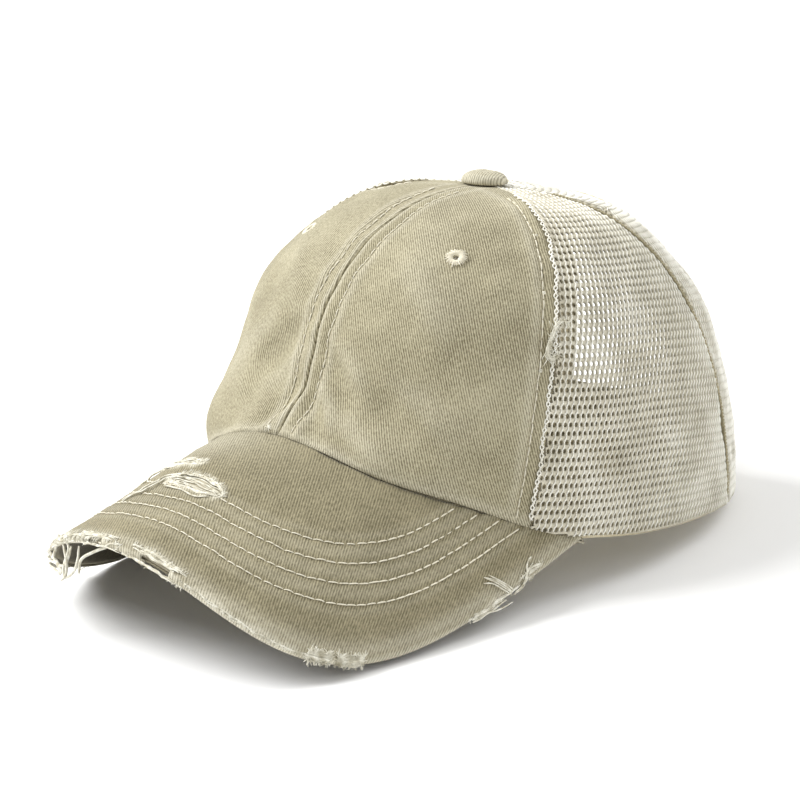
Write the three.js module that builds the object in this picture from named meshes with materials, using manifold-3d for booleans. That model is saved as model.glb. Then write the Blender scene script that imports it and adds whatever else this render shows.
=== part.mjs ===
// Ponytail baseball cap: two twill front panels, four net panels, a curved peak and an open back.
// Millimetres, +Z up, front of the cap towards -Y, wearer's left towards +X.
// The cap stands as it rests by itself: on the two sides of the peak and on the hem at the back.
import * as THREE from 'three';
import { mergeVertices } from 'three/addons/utils/BufferGeometryUtils.js';
import Module from 'manifold-3d';

// Crown: plan of the hem, height, and the seams' angles from centre front at the hem and at the top
const CROWN_HALF_WIDTH = 84.6;
const CROWN_FRONT = 86.6;
const CROWN_REAR = 99.5;
const CROWN_HEIGHT = 104.8;
const APEX_BACK = 1.9;
const PLAN_POWER = 2.15;
const SIDE_SEAM = { hem: 57.8, top: 75.2 };
const REAR_SEAM = { hem: 127, top: 110 };
const APEX_HOLE_RADIUS = 3.6;

// Roundness of the crown's outline, outwards and upwards, at the front, the sides and the back
const ROUNDNESS = {
  front: { out: 2.42, up: 2.44 },
  side: { out: 3.07, up: 2.25 },
  rear: { out: 2.84, up: 1.7 },
};

// The front sinks in at mid height and flares forward over the peak. Levels are shares of the height.
const FRONT_DENT = { depth: 3.4, level: 0.42, spread: 0.14 };
const FRONT_FLARE = { depth: 8.3, level: 0.2, spread: 0.12 };
const FRONT_SOFT_ANGLE = 40;

// Soft folds of the washed cloth: angle from centre front and slant from level in degrees,
// the rest as shares of the crown's height. A depth below zero is a ridge.
const FOLDS = [
  { angle: 10, level: 0.44, slant: -52, reach: 0.2, spread: 0.085, depth: 0.013 },
  { angle: 22, level: 0.3, slant: -38, reach: 0.26, spread: 0.09, depth: -0.012 },
  { angle: 38, level: 0.22, slant: -30, reach: 0.22, spread: 0.085, depth: 0.01 },
  { angle: -13, level: 0.46, slant: 48, reach: 0.2, spread: 0.085, depth: 0.013 },
  { angle: -27, level: 0.34, slant: 40, reach: 0.28, spread: 0.09, depth: -0.012 },
  { angle: 92, level: 0.45, slant: 84, reach: 0.4, spread: 0.16, depth: 0.01 },
  { angle: -96, level: 0.42, slant: 96, reach: 0.4, spread: 0.16, depth: 0.01 },
];

// Walls and clearances
const TWILL = 1.2;
const NET = 1.2;
const GAP = 0.3;
const SEAM_GAP = 0.4;
const LINING_GAP = 0.75;

// Peak: flat pattern, then bent across and sloped down to the front
const PEAK_LENGTH = 73.5;
const PEAK_WIDEST_BEHIND = 27.8;
const PEAK_HALF_WIDTH = { left: 100.1, right: 97.1 };
const PEAK_ROUNDNESS = { left: 2.82, right: 2.15 };
const PEAK_BEND_RADIUS = { left: 83.8, right: 67.3 };
const PEAK_BEND_EASING = -0.089;
const PEAK_EASING_LENGTH = 80;
const PEAK_SLOPE = 20.7;
const FRONT_HEM_RISE = 28.8;
const HEM_EASE = 24;
const PEAK_TOP_WALL = 1.3;
const PEAK_UNDER_WALL = 1.3;
const PEAK_UNDER_INSET = 0.8;
const PEAK_CORNER_WIDTH = 2.2;
const PEAK_TUCK = 0.5;

// Sweatband inside the hem
const BAND_HEIGHT = 32;
const BAND_WALL = 1.1;
const BAND_BELOW_HEM = 1;
const BAND_END_GAP = 1.7;

// Seam tapes on the inside
const TAPE_WIDTH = 15;
const TAPE_WALL = 1;
const TAPE_MITRE = 0.26;
const TAPE_TOP_RADIUS = 8.5;
const TAPE_BAND_GAP = 1.5;
const TAPE_BINDING_GAP = 0.6;

// Ponytail opening at centre back, with its binding and the two straps that close it
const OPENING_HALF_WIDTH = 36;
const OPENING_TOP_FROM_APEX = 47;
const OPENING_POWERS = { up: 2.3, across: 2 };
const BINDING_WIDTH = 5.5;
const BINDING_LIP = 0.8;
const BINDING_BIGHT = 1;
const BINDING_SLACK = 0.45;
const STRAP_HEIGHT = 22;
const STRAP_WALL = 1.4;
const STRAP_ANCHOR = 13;
const STRAP_SHIFT = { from: 2.5, to: 12.5 };
const STRAP_FREE_END = 15;

// Net: six-sided gaps in staggered rows, about seven times as coarse as the real net's 2 mm holes
const NET_PITCH = 15;
const NET_ROW = 13.5;
const NET_BAR = 4.2;
const NET_BORDER = 7;
const NET_CORNER = 2.2;
const NET_CLOSING_SHARE = 0.36;
const NET_TOP_ROW = 12;
const NET_LEAST_ROW = 1;

// Covered button and sewn eyelets
const BUTTON_RADIUS = 8;
const BUTTON_HEIGHT = 4.6;
const BUTTON_RIM = 1.6;
const BUTTON_SHANK_RADIUS = 2.2;
const BUTTON_WASHER = { radius: 5.6, wall: 1.2 };
const EYELET = {
  angle: 36, level: 54, hole: 1.3, neck: 2.1, radius: 3.8, raise: 0.9, inner: 3.2, innerWall: 0.6, cut: 7.2,
};

// The hem at the back gives by this much where it rests
const REST_PRESS = 0.5;

const DEG = Math.PI / 180;
const QUARTER = Math.PI / 2;
const LINING_DEPTH = TWILL + LINING_GAP;

// Distance under which two points are one, halvings of a searched range, rounds that place a
// point of a panel, and the steps for slopes
const SAME_POINT = 1e-4;
const HALVINGS = 30;
const PLACING_ROUNDS = 3;
const SLOPE_STEP = 0.01;
const LOWEST_SLOPE_RISE = 0.004;
const HIGHEST_SLOPE_RISE = QUARTER - 0.03;

const wasm = await Module();
wasm.setup();

const cap = new THREE.Group();
const vec = (x, y, z) => new THREE.Vector3(x, y, z);
const lerp = THREE.MathUtils.lerp;

// Whole numbers from 0 up to and with the count
function countTo(count) {
  return Array.from({ length: count + 1 }, (_, i) => i);
}

function steps(from, to, count) {
  return countTo(count).map((i) => lerp(from, to, i / count));
}

function bell(value, centre, spread) {
  return Math.exp(-(((value - centre) / spread) ** 2));
}

// Blends a roundness from the side's value to the front's or the rear's
function roundness(angle, key) {
  const c = Math.cos(angle);
  const end = c > 0 ? ROUNDNESS.front[key] : ROUNDNESS.rear[key];
  return lerp(ROUNDNESS.side[key], end, c * c);
}

function planRadius(angle) {
  const reach = Math.cos(angle) > 0 ? CROWN_FRONT : CROWN_REAR;
  const across = (Math.abs(Math.sin(angle)) / CROWN_HALF_WIDTH) ** PLAN_POWER;
  const along = (Math.abs(Math.cos(angle)) / reach) ** PLAN_POWER;
  return (across + along) ** (-1 / PLAN_POWER);
}

function foldDepth(angle, level) {
  let depth = 0;
  for (const fold of FOLDS) {
    const turn = Math.atan2(Math.sin(angle - fold.angle * DEG), Math.cos(angle - fold.angle * DEG));
    const across = (turn * planRadius(angle)) / CROWN_HEIGHT;
    const up = level - fold.level;
    const c = Math.cos(fold.slant * DEG);
    const s = Math.sin(fold.slant * DEG);
    const along = (across * c + up * s) / fold.reach;
    const aside = (up * c - across * s) / fold.spread;
    depth += fold.depth * CROWN_HEIGHT * Math.exp(-along * along - aside * aside);
  }
  return depth;
}

// Outside of the crown. angle runs from centre front towards the wearer's left;
// rise runs from 0 at the level of the rear hem to a quarter turn at the apex.
function crown(angle, rise) {
  const out = Math.max(Math.cos(rise), 0) ** (2 / roundness(angle, 'out'));
  const level = Math.max(Math.sin(rise), 0) ** (2 / roundness(angle, 'up'));
  const wrapped = Math.atan2(Math.sin(angle), Math.cos(angle));
  const soft = bell(wrapped, 0, FRONT_SOFT_ANGLE * DEG);
  const flare = FRONT_FLARE.depth * bell(level, FRONT_FLARE.level, FRONT_FLARE.spread);
  const dent = FRONT_DENT.depth * bell(level, FRONT_DENT.level, FRONT_DENT.spread);
  const radius = planRadius(angle) * out + soft * (flare - dent) - foldDepth(angle, level) * Math.sqrt(out);
  return vec(
    radius * Math.sin(angle),
    -radius * Math.cos(angle) + APEX_BACK * level * level,
    CROWN_HEIGHT * level,
  );
}

function crownNormal(angle, rise) {
  const low = THREE.MathUtils.clamp(rise - SLOPE_STEP, LOWEST_SLOPE_RISE, HIGHEST_SLOPE_RISE);
  const level = low + SLOPE_STEP;
  const across = crown(angle + SLOPE_STEP, level).sub(crown(angle - SLOPE_STEP, level));
  const up = crown(angle, level + SLOPE_STEP).sub(crown(angle, low));
  return across.cross(up).normalize();
}

// The crown's surface at a depth inside it
function wall(angle, rise, depth) {
  return crown(angle, rise).addScaledVector(crownNormal(angle, rise), -depth);
}

// Cross-section of the bent peak, tabulated by its flat distance from the middle line
const BEND_STEPS = 120;
const BEND_REACH = 1.3;

function bendTable(side) {
  const rows = [{ flat: 0, x: 0, drop: 0, turn: 0 }];
  const step = (PEAK_HALF_WIDTH[side] * BEND_REACH) / BEND_STEPS;
  for (let i = 1; i <= BEND_STEPS; i += 1) {
    const flat = i * step;
    const middle = flat - step / 2;
    const turnAt = (s) => (s / PEAK_BEND_RADIUS[side]) * (1 + PEAK_BEND_EASING * (s / PEAK_EASING_LENGTH) ** 2);
    const last = rows[i - 1];
    rows.push({
      flat,
      x: last.x + step * Math.cos(turnAt(middle)),
      drop: last.drop + step * Math.sin(turnAt(middle)),
      turn: turnAt(flat),
    });
  }
  return rows;
}

const BENDS = { left: bendTable('left'), right: bendTable('right') };

function lookUp(side, key, value) {
  const rows = BENDS[side];
  const size = Math.abs(value);
  let i = rows.findIndex((row) => row[key] >= size);
  i = i < 1 ? (size > 0 ? rows.length - 1 : 1) : i;
  const part = (size - rows[i - 1][key]) / (rows[i][key] - rows[i - 1][key]);
  const between = (name) => lerp(rows[i - 1][name], rows[i][name], part);
  return { flat: between('flat'), x: between('x'), drop: between('drop'), turn: between('turn') };
}

const sideOf = (value) => (value < 0 ? 'right' : 'left');

function peakHeight(drop, y) {
  return FRONT_HEM_RISE - drop + (y + CROWN_FRONT) * Math.tan(PEAK_SLOPE * DEG);
}

// Top of the peak over a place in plan
function peakOver(x, y) {
  const bend = lookUp(sideOf(x), 'x', x);
  return { height: peakHeight(bend.drop, y), turn: bend.turn };
}

// Top of the peak at a place of its flat pattern, with its upward normal
function peakSurface(flat, y) {
  const bend = lookUp(sideOf(flat), 'flat', flat);
  const sign = Math.sign(flat) || 1;
  const normal = vec(
    sign * Math.sin(bend.turn),
    -Math.cos(bend.turn) * Math.tan(PEAK_SLOPE * DEG),
    Math.cos(bend.turn),
  ).normalize();
  return { point: vec(sign * bend.x, y, peakHeight(bend.drop, y)), normal };
}

// Outer edge of the peak's flat pattern; turn is 0 at the front and grows to the wearer's left
function peakEdge(turn, inset = 0) {
  const side = sideOf(turn);
  const power = 2 / PEAK_ROUNDNESS[side];
  const half = PEAK_HALF_WIDTH[side] - inset;
  const reach = PEAK_LENGTH + PEAK_WIDEST_BEHIND - inset;
  const s = Math.sin(turn);
  const c = Math.cos(turn);
  return {
    flat: half * Math.sign(s) * Math.abs(s) ** power,
    y: -(CROWN_FRONT - PEAK_WIDEST_BEHIND) - reach * Math.sign(c) * Math.abs(c) ** power,
  };
}

const sides = { left: 1, right: -1 };

// Range of turns searched for a corner, as shares of a quarter turn
const CORNER_SEARCH = { from: 0.5, to: 1.3 };

// Turn at which the peak's outer edge comes as near to the crown as the corner is wide,
// and the angle around the crown at which it does so
function corner(side) {
  let low = QUARTER * CORNER_SEARCH.from;
  let high = QUARTER * CORNER_SEARCH.to;
  let span = 0;
  for (let i = 0; i < HALVINGS; i += 1) {
    const turn = (low + high) / 2;
    const edge = peakEdge(sides[side] * turn);
    const { point } = peakSurface(edge.flat, edge.y);
    span = Math.abs(Math.atan2(point.x, -point.y));
    if (Math.hypot(point.x, point.y) - planRadius(span) < PEAK_CORNER_WIDTH) high = turn;
    else low = turn;
  }
  return { turn: low, span };
}

const CORNERS = { left: corner('left'), right: corner('right') };

const HIGHEST_HEM_RISE = 1;

// Rise at which a layer of the crown ends: on the peak, and past its corners at the level of the
// rear hem, which it reaches by an easy curve
function hemRise(around, depth, clearance) {
  const wrapped = Math.atan2(Math.sin(around), Math.cos(around));
  const { span } = CORNERS[sideOf(wrapped)];
  const past = THREE.MathUtils.smoothstep(Math.abs(wrapped), span, span + HEM_EASE * DEG);
  if (past === 1) return 0;
  const angle = THREE.MathUtils.clamp(wrapped, -CORNERS.right.span, CORNERS.left.span);
  const over = (rise) => {
    const point = wall(angle, rise, depth);
    const peak = peakOver(point.x, point.y);
    return point.z - peak.height - clearance / Math.cos(peak.turn);
  };
  if (over(0) > 0) return 0;
  let low = 0;
  let high = HIGHEST_HEM_RISE;
  for (let i = 0; i < HALVINGS; i += 1) {
    const middle = (low + high) / 2;
    if (over(middle) > 0) high = middle;
    else low = middle;
  }
  return high * (1 - past);
}

// Rise at a height above the hem
function riseAbove(angle, height) {
  const start = hemRise(angle, 0, 0);
  const target = crown(angle, start).z + height;
  let low = start;
  let high = QUARTER;
  for (let i = 0; i < HALVINGS; i += 1) {
    const middle = (low + high) / 2;
    if (crown(angle, middle).z > target) high = middle;
    else low = middle;
  }
  return high;
}

// Radius of the crown around its axis at an angle and rise
function levelRadius(angle, rise) {
  const p = crown(angle, rise);
  return Math.hypot(p.x, p.y - crown(0, QUARTER).y * (rise / QUARTER) ** 2);
}

const LOWEST_TOP_RISE = 0.5;

function riseAtRadius(angle, radius) {
  let low = LOWEST_TOP_RISE;
  let high = QUARTER;
  for (let i = 0; i < HALVINGS; i += 1) {
    const middle = (low + high) / 2;
    if (levelRadius(angle, middle) < radius) high = middle;
    else low = middle;
  }
  return high;
}

function seamAngle(seam, rise) {
  return lerp(seam.hem, seam.top, rise / QUARTER) * DEG;
}

// Closed solid between two grids of points that face each other, pierced where a cell is open
function solidBetween(front, back, isOpen = () => false) {
  const rows = front.length;
  const cols = front[0].length;
  const points = [...front.flat(), ...back.flat()];
  const at = (layer, r, c) => layer * rows * cols + r * cols + c;
  const index = [];
  const quad = (a, b, c, d) => index.push(a, b, c, a, c, d);
  const solid = (r, c) => r >= 0 && c >= 0 && r < rows - 1 && c < cols - 1 && !isOpen(r, c);
  const edgeWall = (r, c, r2, c2) => quad(at(0, r, c), at(1, r, c), at(1, r2, c2), at(0, r2, c2));
  for (let r = 0; r < rows - 1; r += 1) {
    for (let c = 0; c < cols - 1; c += 1) {
      if (!solid(r, c)) continue;
      quad(at(0, r, c), at(0, r, c + 1), at(0, r + 1, c + 1), at(0, r + 1, c));
      quad(at(1, r, c), at(1, r + 1, c), at(1, r + 1, c + 1), at(1, r, c + 1));
      if (!solid(r - 1, c)) edgeWall(r, c, r, c + 1);
      if (!solid(r + 1, c)) edgeWall(r + 1, c + 1, r + 1, c);
      if (!solid(r, c - 1)) edgeWall(r + 1, c, r, c);
      if (!solid(r, c + 1)) edgeWall(r, c + 1, r + 1, c + 1);
    }
  }
  const used = new Map();
  const packed = index.map((i) => {
    if (!used.has(i)) used.set(i, used.size);
    return used.get(i);
  });
  return outward([...used.keys()].map((i) => points[i]), packed);
}

// Closed solid from rings of points, joined one after the other and capped at both ends
function solidAlong(rings) {
  const sides = rings[0].length;
  const points = rings.flat();
  const index = [];
  for (let r = 0; r < rings.length - 1; r += 1) {
    for (let c = 0; c < sides; c += 1) {
      const a = r * sides + c;
      const b = r * sides + ((c + 1) % sides);
      index.push(a, b, b + sides, a, b + sides, a + sides);
    }
  }
  const flat = THREE.ShapeUtils.triangulateShape(flatten(rings[0]), []);
  const last = (rings.length - 1) * sides;
  for (const [a, b, c] of flat) {
    index.push(a, c, b, last + a, last + b, last + c);
  }
  return outward(points, index);
}

// A planar ring seen flat, for its cap
function flatten(ring) {
  const centre = ring.reduce((sum, p) => sum.add(p), vec(0, 0, 0)).divideScalar(ring.length);
  const normal = vec(0, 0, 0);
  ring.forEach((p, i) => {
    const next = ring[(i + 1) % ring.length];
    normal.add(p.clone().sub(centre).cross(next.clone().sub(centre)));
  });
  normal.normalize();
  const across = ring[1].clone().sub(ring[0]).normalize();
  const up = normal.clone().cross(across);
  return ring.map((p) => new THREE.Vector2(p.clone().sub(centre).dot(across), p.clone().sub(centre).dot(up)));
}

function outward(points, index) {
  let volume = 0;
  for (let i = 0; i < index.length; i += 3) {
    volume += points[index[i]].dot(points[index[i + 1]].clone().cross(points[index[i + 2]]));
  }
  const faces = volume < 0 ? index.reverse() : index;
  const geometry = new THREE.BufferGeometry();
  geometry.setAttribute('position', new THREE.Float32BufferAttribute(points.flatMap((p) => p.toArray()), 3));
  geometry.setIndex(faces);
  return geometry;
}

function toManifold(geometry) {
  const bare = geometry.clone();
  bare.deleteAttribute('normal');
  bare.deleteAttribute('uv');
  const merged = mergeVertices(bare, SAME_POINT);
  return new wasm.Manifold(new wasm.Mesh({
    numProp: 3,
    vertProperties: new Float32Array(merged.getAttribute('position').array),
    triVerts: new Uint32Array(merged.getIndex().array),
  }));
}

function fromManifold(solid) {
  const mesh = solid.getMesh();
  const geometry = new THREE.BufferGeometry();
  geometry.setAttribute('position', new THREE.Float32BufferAttribute(mesh.vertProperties, 3));
  geometry.setIndex(Array.from(mesh.triVerts));
  return geometry;
}

function cutFrom(geometry, tools) {
  let solid = toManifold(geometry);
  for (const tool of tools) solid = solid.subtract(toManifold(tool));
  return fromManifold(solid);
}

// Places a shape built round +Z on the crown, with +Z along the outward normal
function onCrown(geometry, angle, rise) {
  const turn = new THREE.Quaternion().setFromUnitVectors(vec(0, 0, 1), crownNormal(angle, rise));
  geometry.applyQuaternion(turn);
  geometry.translate(...crown(angle, rise).toArray());
  return geometry;
}

// Rest: the turn about the side-to-side axis that puts the peak's sides and the back hem on the floor
const EDGE_STEPS = 120;
const REST_SEARCH = { from: -10 * DEG, to: 25 * DEG };
const peakWall = PEAK_TOP_WALL + GAP + PEAK_UNDER_WALL;
const lowEdge = steps(-QUARTER, QUARTER, EDGE_STEPS).map((turn) => {
  const edge = peakEdge(turn, PEAK_UNDER_INSET);
  const { point, normal } = peakSurface(edge.flat, edge.y);
  return point.addScaledVector(normal, -peakWall);
});
const backHem = wall(Math.PI, 0, LINING_DEPTH).add(vec(0, 0, -BAND_BELOW_HEM));

function heightWhenTurned(point, turn) {
  return point.z * Math.cos(turn) - point.y * Math.sin(turn);
}

function restTurn() {
  let low = REST_SEARCH.from;
  let high = REST_SEARCH.to;
  for (let i = 0; i < HALVINGS; i += 1) {
    const turn = (low + high) / 2;
    const front = Math.min(...lowEdge.map((p) => heightWhenTurned(p, turn)));
    if (heightWhenTurned(backHem, turn) + REST_PRESS > front) low = turn;
    else high = turn;
  }
  return (low + high) / 2;
}

const REST_TURN = restTurn();
const REST_LIFT = -Math.min(...lowEdge.map((p) => heightWhenTurned(p, REST_TURN)));

// Turns a finished piece to the rest position and flattens what touches the floor
function settle(geometry) {
  const position = geometry.getAttribute('position');
  for (let i = 0; i < position.count; i += 1) {
    const p = vec(0, 0, 0).fromBufferAttribute(position, i);
    const y = p.y * Math.cos(REST_TURN) + p.z * Math.sin(REST_TURN);
    const z = Math.max(heightWhenTurned(p, REST_TURN) + REST_LIFT, 0);
    position.setXYZ(i, p.x, y, z);
  }
  geometry.computeVertexNormals();
  return geometry;
}

function material(color, roughness) {
  return new THREE.MeshStandardMaterial({ color, roughness, metalness: 0 });
}

const CLOTH_ROUGHNESS = 0.9;
const THREAD_ROUGHNESS = 0.8;

function addPiece(name, geometry, color, roughness = CLOTH_ROUGHNESS) {
  const mesh = new THREE.Mesh(settle(geometry), material(color, roughness));
  mesh.name = name;
  cap.add(mesh);
}

const KHAKI = 0xa89c80;
const DARK_KHAKI = 0x8b8068;
const CREAM = 0xd9d0b8;
const NET_CREAM = 0xd6cdb4;

// Half the gap between two panels, as an angle at this height
function seamGapAngle(angle, rise) {
  return SEAM_GAP / 2 / levelRadius(angle, rise);
}

const topRise = (angle) => riseAtRadius(angle, APEX_HOLE_RADIUS);

// One layer of a panel. place gives the share of the way up and across for a row and a column.
function panelLayer(edges, rows, columns, place, depth) {
  return countTo(rows).map((row) => countTo(columns).map((column) => {
    const { up, across } = place(row, column);
    let rise = Math.min(up * QUARTER, topRise(0));
    let angle = 0;
    for (let i = 0; i < PLACING_ROUNDS; i += 1) {
      angle = lerp(edges.from(rise), edges.to(rise), across);
      rise = lerp(hemRise(angle, depth, GAP), topRise(angle), up);
    }
    return wall(angle, rise, depth);
  }));
}

// Front panels, from the centre seam to the side seam, each with a round hole for its eyelet
const FRONT_ROWS = 14;
const FRONT_COLUMNS = 9;
const HOLE_SIDES = 16;

function frontPanel(side) {
  const sign = sides[side];
  const edges = {
    from: (rise) => sign * seamGapAngle(0, rise),
    to: (rise) => sign * (seamAngle(SIDE_SEAM, rise) - seamGapAngle(sign * seamAngle(SIDE_SEAM, rise), rise)),
  };
  const place = (row, column) => ({ up: row / FRONT_ROWS, across: column / FRONT_COLUMNS });
  const layer = (depth) => panelLayer(edges, FRONT_ROWS, FRONT_COLUMNS, place, depth);
  const cloth = solidBetween(layer(0), layer(TWILL));
  const hole = new THREE.CylinderGeometry(EYELET.neck + GAP, EYELET.neck + GAP, EYELET.cut, HOLE_SIDES);
  hole.rotateX(QUARTER);
  return cutFrom(cloth, [onCrown(hole, sign * EYELET.angle * DEG, EYELET.level * DEG)]);
}

// Net panels. Rows of gaps and bars take turns up the panel; a gap is three cells wide, a strand one,
// and every other row is moved on by half a pitch.
const LINE_STEPS = 80;

// Lengths up the middle of a panel, from its hem to its top
function middleLine(edges) {
  const middle = (rise) => (edges.from(rise) + edges.to(rise)) / 2;
  const start = hemRise(middle(0), 0, GAP);
  const line = [{ rise: start, length: 0, up: 0 }];
  for (const up of steps(0, 1, LINE_STEPS).slice(1)) {
    const rise = lerp(start, topRise(middle(QUARTER / 2)), up);
    const last = line[line.length - 1];
    const step = crown(middle(rise), rise).distanceTo(crown(middle(last.rise), last.rise));
    line.push({ rise, length: last.length + step, up });
  }
  return line;
}

function onLine(line, length) {
  const i = Math.max(line.findIndex((p) => p.length >= length), 1);
  const part = (length - line[i - 1].length) / (line[i].length - line[i - 1].length);
  return { rise: lerp(line[i - 1].rise, line[i].rise, part), up: lerp(line[i - 1].up, line[i].up, part) };
}

function netPanel(edges, extraUps = [], closedAt = null) {
  const line = middleLine(edges);
  const whole = line[line.length - 1].length;
  const widthAt = (rise) => {
    const from = edges.from(rise);
    const to = edges.to(rise);
    return Math.abs(to - from) * levelRadius((from + to) / 2, rise);
  };
  const hemWidth = Math.abs(edges.to(0) - edges.from(0)) * planRadius((edges.to(0) + edges.from(0)) / 2);
  const count = Math.max(Math.floor((hemWidth - 2 * NET_BORDER + NET_PITCH / 4) / NET_PITCH), 1);
  const cells = 4 * count - 1;
  const columns = cells + 2;
  const across = (column) => {
    if (column === 0 || column === columns) return column / columns;
    return lerp(NET_BORDER / hemWidth, 1 - NET_BORDER / hemWidth, (column - 1) / cells);
  };

  const lines = [{ up: 0, band: null, shift: 0 }];
  let band = 0;
  for (; (band + 1) * NET_ROW + NET_BAR < whole; band += 1) {
    const low = onLine(line, band * NET_ROW + NET_BAR);
    const high = onLine(line, (band + 1) * NET_ROW);
    if (widthAt(high.rise) < hemWidth * NET_CLOSING_SHARE) break;
    const slant = NET_CORNER / whole;
    if (closedAt !== null && low.up < closedAt && closedAt < high.up) continue;
    lines.push({ up: low.up, band, shift: slant }, { up: high.up, band: null, shift: -slant, below: band });
  }
  const last = lines[lines.length - 1].up;
  const left = Math.ceil(((1 - last) * whole) / NET_TOP_ROW);
  lines.push(...steps(last, 1, left).slice(1).map((up) => ({ up, band: null, shift: 0 })));
  for (const up of extraUps) {
    if (lines.every((other) => Math.abs(other.up - up) * whole > NET_LEAST_ROW)) {
      const under = lines.filter((other) => other.up < up).sort((a, b) => b.up - a.up)[0];
      lines.push({ up, band: under.band, shift: 0 });
    }
  }
  lines.sort((a, b) => a.up - b.up);

  const inGap = (bandOf, cell) => {
    if (bandOf === null || cell < 0 || cell >= cells) return false;
    const moved = cell - (bandOf % 2) * 2;
    return moved >= 0 && moved % 4 < 3 && Math.floor(moved / 4) < count - (bandOf % 2);
  };
  const place = (row, column) => {
    const { up, band: above, shift, below } = lines[row];
    const owner = shift === 0 ? null : above ?? below;
    const atEnd = owner !== null && inGap(owner, column - 1) !== inGap(owner, column - 2);
    return { up: up + (atEnd ? shift : 0), across: across(column) };
  };
  const rows = lines.length - 1;
  const layer = (depth) => panelLayer(edges, rows, columns, place, depth);
  return solidBetween(layer(0), layer(NET), (row, column) => inGap(lines[row].band, column - 1));
}

function sideNet(side) {
  const sign = sides[side];
  return netPanel({
    from: (rise) => sign * (seamAngle(SIDE_SEAM, rise) + seamGapAngle(sign * seamAngle(SIDE_SEAM, rise), rise)),
    to: (rise) => sign * (seamAngle(REAR_SEAM, rise) - seamGapAngle(sign * seamAngle(REAR_SEAM, rise), rise)),
  });
}

// Ponytail opening: an arch about the centre back line, from the hem to its top
const MEASURING_STEP = 0.004;
const OPENING_TOP = (() => {
  let length = 0;
  let rise = QUARTER;
  while (length < OPENING_TOP_FROM_APEX && rise > MEASURING_STEP) {
    length += crown(Math.PI, rise).distanceTo(crown(Math.PI, rise - MEASURING_STEP));
    rise -= MEASURING_STEP;
  }
  return rise;
})();

// Angle of the arch's edge on one side, moved out from the opening by a distance
function openingAngle(rise, sign, away) {
  const top = OPENING_TOP + away / CROWN_REAR;
  const up = THREE.MathUtils.clamp(rise / top, 0, 1);
  const half = (OPENING_HALF_WIDTH + away) * (1 - up ** OPENING_POWERS.up) ** (1 / OPENING_POWERS.across);
  return sign * (Math.PI - half / levelRadius(Math.PI, rise));
}

// A back panel runs to the arch, and above it to the centre back seam. Its rows crowd together
// towards the top of the opening, where the arch turns level.
const ARCH_ROWS = 9;
const ARCH_ROWS_FROM = 0.5;

function backNet(side) {
  const sign = sides[side];
  const inside = BINDING_BIGHT + SEAM_GAP;
  const archRise = OPENING_TOP + inside / CROWN_REAR;
  const archTop = archRise / topRise(Math.PI);
  const edges = {
    from: (rise) => sign * (seamAngle(REAR_SEAM, rise) + seamGapAngle(sign * seamAngle(REAR_SEAM, rise), rise)),
    to: (rise) => {
      const seam = Math.PI - seamGapAngle(Math.PI, rise);
      return sign * Math.min(seam, Math.abs(openingAngle(rise, sign, inside)));
    },
  };
  return netPanel(edges, steps(ARCH_ROWS_FROM, 1, ARCH_ROWS).map((k) => archTop * Math.sin(k * QUARTER)), archTop);
}

for (const side of Object.keys(sides)) {
  addPiece(`front_panel_${side}`, frontPanel(side), KHAKI);
  addPiece(`side_mesh_${side}`, sideNet(side), NET_CREAM);
  addPiece(`back_mesh_${side}`, backNet(side), NET_CREAM);
}

// Peak: two cloth covers, the lower one set in a little from the edge of the upper one
const PEAK_COLUMNS = 28;
const PEAK_ROWS = 4;
const CORNER_SHARPNESS = 8;
const LEAST_NORMAL_RISE = 0.6;

// Place on the hem, seen on the flat pattern, at an angle around the crown
function hemPlace(angle) {
  const point = wall(angle, hemRise(angle, PEAK_TUCK, 0), PEAK_TUCK);
  return { flat: Math.sign(point.x) * lookUp(sideOf(point.x), 'x', point.x).flat, y: point.y };
}

function peakLayer(depth, inset) {
  return steps(-1, 1, PEAK_COLUMNS).map((share) => {
    const side = sideOf(share);
    const size = Math.abs(share);
    const sign = sides[side];
    const inner = hemPlace(sign * size * CORNERS[side].span);
    const outer = peakEdge(sign * size * CORNERS[side].turn, inset * (1 - size ** CORNER_SHARPNESS));
    return steps(0, 1, PEAK_ROWS).map((across) => {
      const flat = lerp(inner.flat, outer.flat, across);
      const y = lerp(inner.y, outer.y, across);
      const { point, normal } = peakSurface(flat, y);
      const down = vec(0, 0, 1 / Math.max(normal.z, LEAST_NORMAL_RISE));
      return point.addScaledVector(normal.lerp(down, 1 - across), -depth);
    });
  });
}

addPiece('peak_top', solidBetween(peakLayer(0, 0), peakLayer(PEAK_TOP_WALL, 0)), KHAKI);
addPiece('peak_underside', solidBetween(
  peakLayer(PEAK_TOP_WALL + GAP, PEAK_UNDER_INSET),
  peakLayer(peakWall, PEAK_UNDER_INSET),
), DARK_KHAKI);

// Sweatband: a strip inside the hem, from one side of the opening round the front to the other
const BAND_COLUMNS = 60;
const BAND_ROWS = 3;

function bandLayer(depth) {
  const end = openingAngle(0, 1, BINDING_WIDTH + BAND_END_GAP);
  return steps(-end, end, BAND_COLUMNS).map((angle) => {
    const low = hemRise(angle, 0, 0);
    const high = riseAbove(angle, BAND_HEIGHT);
    return steps(0, 1, BAND_ROWS).map((up) => {
      const point = wall(angle, lerp(low, high, up), depth);
      return up === 0 ? point.add(vec(0, 0, -BAND_BELOW_HEM)) : point;
    });
  });
}

addPiece('sweatband', solidBetween(bandLayer(LINING_DEPTH), bandLayer(LINING_DEPTH + BAND_WALL)), CREAM);

// Seam tapes: strips over each seam on the inside, narrowed to a mitre towards the apex
const TAPE_ROWS = 10;
const TAPE_COLUMNS = 2;

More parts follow.
